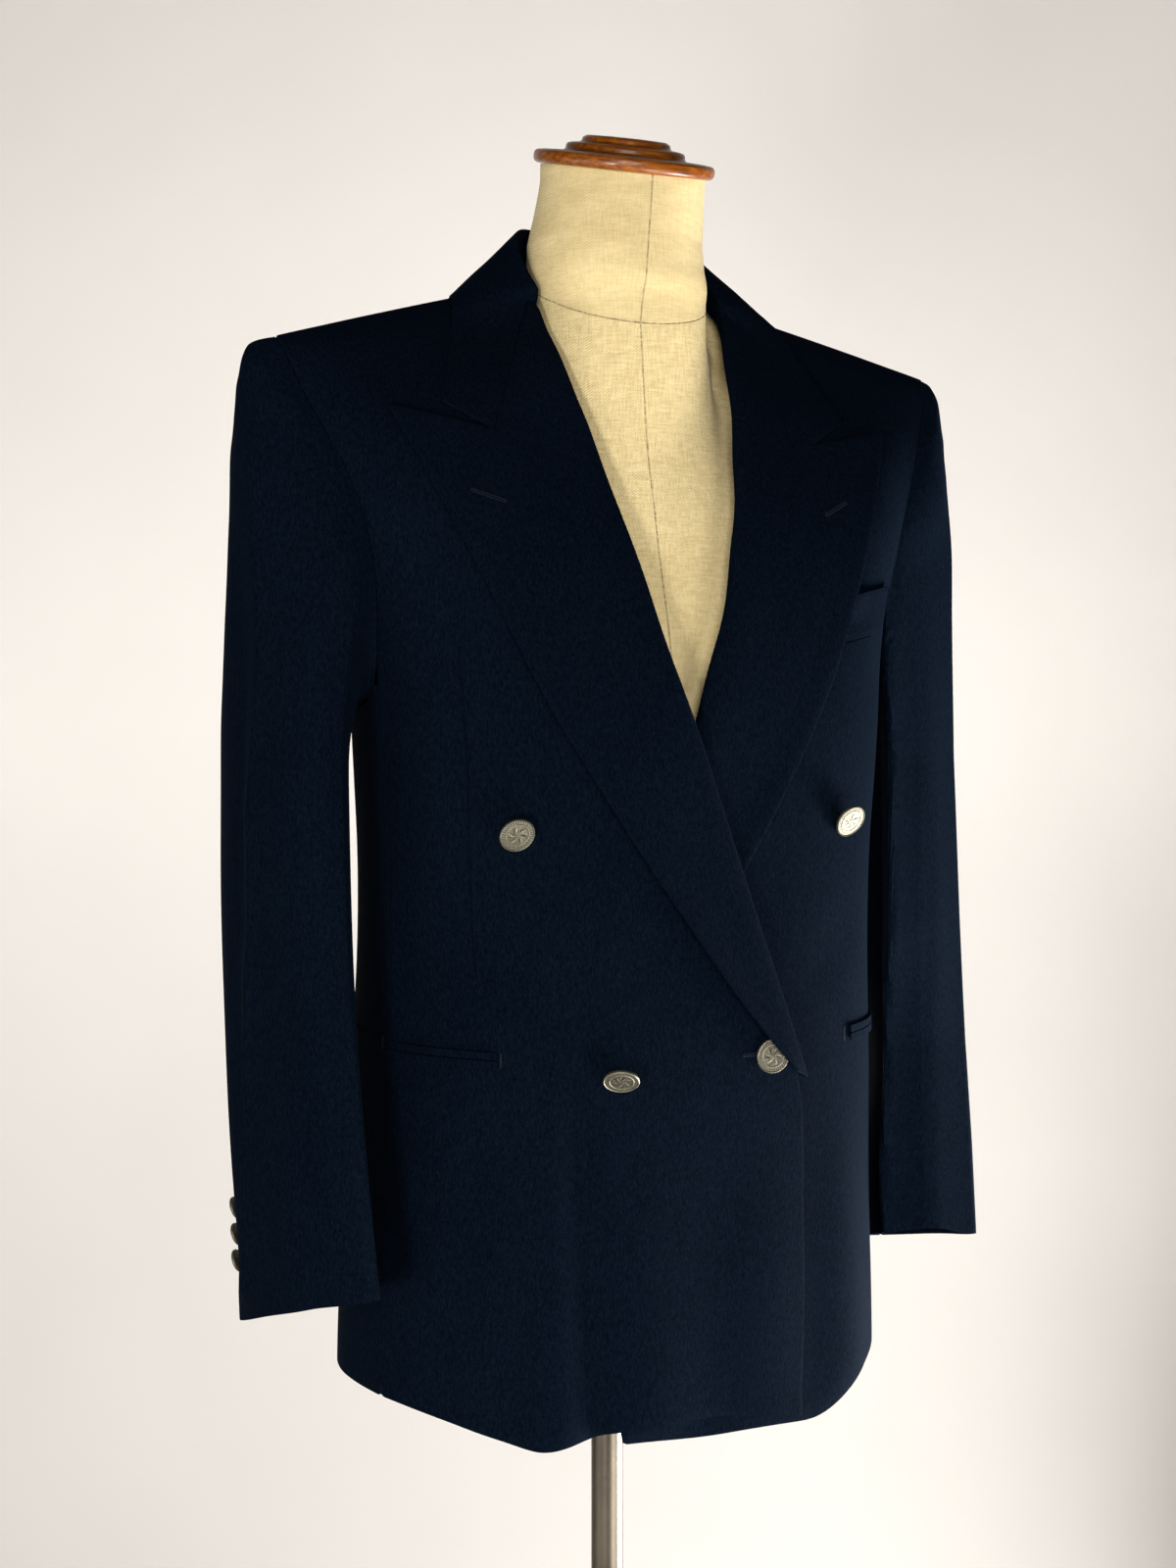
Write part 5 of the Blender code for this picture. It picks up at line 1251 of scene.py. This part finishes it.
def upright_on(point, way, turn=0.0):
    """A frame at a point: z looks along way, and y is as upright as it can be."""
    across = Vector((0, 0, 1)).cross(way).normalized()
    up = way.cross(across)
    place = Matrix((across, up, way)).transposed().to_4x4()
    place.translation = point
    return place @ Matrix.Rotation(turn, 4, "Z")


button_places = [(node, Vector(middle), Vector(look).normalized(), 1.0)
                 for node, (middle, look) in HANGING.items()]
for side, hand in (("right", -1), ("left", 1)):
    for k in (1, 2, 3):
        node = f"cuff_button_{side}_{k}"
        middle, way = face_of(node, SLEEVE_AXIS[side])
        look = Vector((hand * CUFF_LOOK[0], CUFF_LOOK[1], CUFF_LOOK[2])).normalized()
        button_places.append((node, middle + way * CUFF_STAND_OFF, look, CUFF_SIZE))

button_feet = {}
for k, (node, middle, look, size) in enumerate(button_places):
    button = button_pattern.copy()
    button.data = button_pattern.data.copy()
    button.name = node + "_silver"
    bpy.context.collection.objects.link(button)
    button_feet[node] = middle - look * DISC_MIDDLE * size
    stand_at(button, upright_on(button_feet[node], look, NEXT_TURN * k) @ Matrix.Scale(size, 4))
    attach(button, "root")
    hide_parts(node)
bpy.data.objects.remove(button_pattern)
print("buttons:", len(button_feet), "from one pattern")

# %% [markdown]
# ## Handwork
#
# A tailored buttonhole is a slit bound with a row of purl stitches in silk twist. It is a ring of
# small knots, so a torus is stretched to the slit's length, given knots by a wave round its
# length, and then laid on the cloth: each point keeps its height over the cloth below it. Bar
# tacks at the ends of the pockets are made in the same way. A button hangs on a short column of
# wound thread, which is turned on the lathe.


# %% Silk twist
STRANDS_PER_METRE = 2600.0
TWIST_COLOURS = ((0.35, (0.0016, 0.0026, 0.0050)), (0.65, (0.0090, 0.0130, 0.0200)))


def twist_material():
    material, tree, shader = new_material("silk_twist")
    strand = noise(tree, object_mapping(tree), STRANDS_PER_METRE, 2.0)
    finish_shader(tree, shader, {"Roughness": 0.60, "Specular IOR Level": 0.03},
                  ramp(tree, strand, TWIST_COLOURS))
    return material


twist = twist_material()


# %% Laying small work on cloth
DROP_FROM = 0.03                 # each point is dropped on to the cloth from this height
RING_RADIUS = 0.002              # of the torus, before it is stretched
KNOT_SWELL = 0.30                # how much thicker the thread is at a knot
KNOT_FLATNESS = 0.6
THREAD_LIFT = 0.3                # how far the thread's middle is over the cloth, in radii


def lay_on(piece, cloth, point, way, along):
    """Put flat work down on a cloth: x runs along, z is height over the cloth."""
    way = Vector(way).normalized()
    along = (Vector(along) - way * Vector(along).dot(way)).normalized()
    across = way.cross(along)
    base_point = Vector(point)
    for vertex in piece.data.vertices:
        x, y, height = vertex.co
        start = base_point + along * x + across * y + way * DROP_FROM
        found, place, _, _ = cloth.ray_cast(start, -way)
        ground = place if found else base_point + along * x + across * y
        vertex.co = ground + way * height
    piece.data.update()
    smooth_all(piece, 60.0)
    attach(piece, "root")


def purl_ring(name, slit, knots, bend=0.0007, thread=0.0005):
    """A closed row of knots round a slit; bend is the radius of its two round ends."""
    bpy.ops.object.select_all(action="DESELECT")
    bpy.ops.mesh.primitive_torus_add(major_radius=RING_RADIUS, minor_radius=thread,
                                     major_segments=knots * 4, minor_segments=8)
    ring = bpy.context.active_object
    ring.name = name
    spots = points_of(ring).copy()
    half = slit / 2 - bend
    arc = math.pi * bend
    total = 4 * half + 2 * arc
    walk = (np.arctan2(spots[:, 1], spots[:, 0]) / (2 * math.pi) % 1.0) * total
    radial = np.hypot(spots[:, 0], spots[:, 1]) - RING_RADIUS
    place = np.zeros((len(spots), 2))
    outward = np.zeros((len(spots), 2))
    for k, s in enumerate(walk):
        if s < 2 * half:                                 # along the lower side
            place[k], outward[k] = (half - s, -bend), (0.0, -1.0)
        elif s < 2 * half + arc:                         # round the first end
            turn = (s - 2 * half) / bend
            outward[k] = (-math.sin(turn), -math.cos(turn))
            place[k] = np.array((-half, 0.0)) + outward[k] * bend
        elif s < 4 * half + arc:                         # back along the upper side
            place[k], outward[k] = (s - 3 * half - arc, bend), (0.0, 1.0)
        else:                                            # round the second end
            turn = (s - 4 * half - arc) / bend
            outward[k] = (math.sin(turn), math.cos(turn))
            place[k] = np.array((half, 0.0)) + outward[k] * bend
    knot = 1.0 + KNOT_SWELL * np.cos(walk / total * 2 * math.pi * knots)
    spots[:, :2] = place + outward * (radial * knot)[:, None]
    spots[:, 2] = spots[:, 2] * knot * KNOT_FLATNESS + thread * THREAD_LIFT
    move_points(ring, spots)
    edit(ring)
    bpy.ops.mesh.select_all(action="SELECT")
    bpy.ops.mesh.normals_make_consistent(inside=False)
    object_mode()
    dress(ring, twist)
    return ring


# %% Buttonholes
HOLE_KNOTS = 34
HOLES = (            # name, cloth, length of the slit, its inner end and its outer end
    ("lapel_hole_right", lapel_right, 0.021,
     (-0.1194, -0.0892, 1.3663), (-0.1372, -0.0857, 1.3720)),
    ("lapel_hole_left", lapel_left, 0.021,
     (0.1172, -0.0908, 1.3647), (0.1357, -0.0861, 1.3735)),
    ("front_hole_low", body_cloth["front_right"], 0.024,
     (0.0300, -0.1331, 1.0128), (0.0540, -0.1331, 1.0130)),
)
for name, cloth, slit, inner, outer in HOLES:
    middle = (Vector(inner) + Vector(outer)) / 2
    # outwards from the body's middle, turned a little towards the front
    outward = Vector((middle.x * 0.6, middle.y - 0.01, 0.0)).normalized()
    ring = purl_ring(name, slit, HOLE_KNOTS)
    lay_on(ring, cloth, middle, outward, Vector(outer) - Vector(inner))
print("buttonholes:", len(HOLES))

# %% Bar tacks at the pockets
TACK_LENGTH, TACK_KNOTS = 0.0090, 14
TACK_BEND, TACK_THREAD = 0.0003, 0.0004
TACKS = {"front": (0.1308, -0.1095, 1.0170), "back": (0.1830, -0.0440, 1.0235)}
for side, hand in (("right", -1), ("left", 1)):
    for end, (x, y, z) in TACKS.items():
        place = (hand * x, y, z)
        tack = purl_ring(f"bar_tack_{side}_{end}", TACK_LENGTH, TACK_KNOTS, TACK_BEND, TACK_THREAD)
        lay_on(tack, body_cloth[f"front_{side}"], place, (place[0], place[1], 0.0), (0.0, 0.0, 1.0))
print("bar tacks:", 2 * len(TACKS))


# %% Threads under the buttons
WINDING = 0.0009                 # height of one turn of thread
THREAD_RADIUS = 0.0012
THREAD_FOOT, THREAD_GROOVE = 0.80, 0.78      # radius at the foot and between turns, as shares


def wound_thread(name, length):
    """A short column of wound thread, drawn as one wavy profile and turned."""
    turns = max(2, round(length / WINDING))
    profile = [(0.0, 0.0), (THREAD_RADIUS * THREAD_FOOT, 0.0)]
    for k in range(turns):
        profile += [(THREAD_RADIUS, (k + 0.5) * length / turns),
                    (THREAD_RADIUS * THREAD_GROOVE, (k + 1.0) * length / turns)]
    return lathe(name, profile + [(0.0, length)], 16)


body_tree = BVHTree.FromPolygons(*joined_faces([body_cloth["front_right"], body_cloth["front_left"]]))
for node in HANGING:
    foot = button_feet[node]
    ground, _, _, length = body_tree.find_nearest(foot)
    if length < 2 * WINDING:
        continue
    column = wound_thread(node + "_thread", length)
    stand_at(column, upright_on(ground, (foot - ground).normalized()))
    smooth_all(column, 60.0)
    dress(column, twist)
    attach(column, "root")
    print(column.name, round(1000 * length, 1), "mm")

# %% [markdown]
# ## Floor and light
#
# A pale sweep of paper stands behind, curved where the wall meets the floor so that no line shows.
# Five area lamps light the cloth: two from its sides, a wide one from the front and two small ones
# between them. Cloth this dark shows its folds only in light that rakes along them, so three of
# the lamps stand low, and the sky adds next to nothing, so that hollows stay dark.

# %% Paper sweep
PAPER = (0.77, 0.742, 0.706)
PAPER_SHADE = 0.97               # the fibres' darker parts
PAPER_FINISH = {"Roughness": 0.95, "Specular IOR Level": 0.1}


def paper_material():
    material, tree, shader = new_material("pale_paper")
    fibre = noise(tree, object_mapping(tree), 3.0, 2.0)
    shade = tuple(PAPER_SHADE * c for c in PAPER)
    finish_shader(tree, shader, PAPER_FINISH, ramp(tree, fibre, ((0.3, shade), (0.7, PAPER))))
    return material


SWEEP_SIZE = 9.0
SWEEP_BACK = 1.9                 # how far behind the stand the wall is
SWEEP_HEIGHT = 4.5
SWEEP_BEND = 1.2
UNDER_FOOT = 0.0005              # the paper lies this far under the round foot
bpy.ops.object.select_all(action="DESELECT")
bpy.ops.mesh.primitive_plane_add(size=SWEEP_SIZE, location=(0, 0, -UNDER_FOOT))
sweep = bpy.context.active_object
sweep.name = "paper_sweep"
edit(sweep, "EDGE")
object_mode()
sweep.location.y = SWEEP_BACK - SWEEP_SIZE / 2
settle(sweep)
for edge in sweep.data.edges:
    ends = [sweep.data.vertices[v].co.y for v in edge.vertices]
    edge.select = min(ends) > SWEEP_BACK - 0.01
bpy.ops.object.mode_set(mode="EDIT")
bpy.ops.mesh.extrude_edges_move(TRANSFORM_OT_translate={"value": (0.0, 0.0, SWEEP_HEIGHT)})
object_mode()
finish_with(sweep, "BEVEL", width=SWEEP_BEND, segments=16, limit_method="ANGLE",
            angle_limit=math.radians(30))
only(sweep)
sweep.matrix_world = Matrix.Rotation(-HEADING, 4, "Z")
settle(sweep)
smooth_all(sweep, 60.0)
dress(sweep, paper_material())
print("paper:", SWEEP_SIZE, "m wide, the wall", SWEEP_BACK, "m behind")

# %% Lamps
LAMP_COLOUR = (1.0, 0.98, 0.96)
LAMPS = (            # name, watts, size, place and aim
    ("low_side_lamp", 84.0, 0.6, (1.083, -0.200, 0.30), (0.1, 0.06, 1.05)),
    ("front_lamp", 41.0, 1.2, (-0.889, -2.443, 1.60), (0.0, 0.0, 1.15)),
    ("left_lamp", 36.0, 2.0, (-2.600, 0.0, 0.40), (0.0, 0.0, 1.15)),
    ("low_front_lamp", 13.0, 0.6, (0.376, -1.034, 0.30), (0.1, 0.0, 1.05)),
    ("window", 25.0, 0.35, (-1.414, -1.414, 0.80), (0.0, 0.0, 1.15)),
)
for name, watts, size, place, aim in LAMPS:
    lamp_data = bpy.data.lights.new(name, "AREA")
    lamp_data.energy = watts
    lamp_data.size = size
    lamp_data.color = LAMP_COLOUR
    lamp = bpy.data.objects.new(name, lamp_data)
    bpy.context.collection.objects.link(lamp)
    lamp.location = place
    lamp.rotation_euler = (Vector(aim) - Vector(place)).to_track_quat("-Z", "Y").to_euler()

world = bpy.data.worlds.new("studio")
bpy.context.scene.world = world
world.use_nodes = True
sky = world.node_tree.nodes["Background"]
set_inputs(sky, {"Color": (1.0, 0.97, 0.94, 1.0), "Strength": 0.01})
print("lamps:", len(LAMPS))
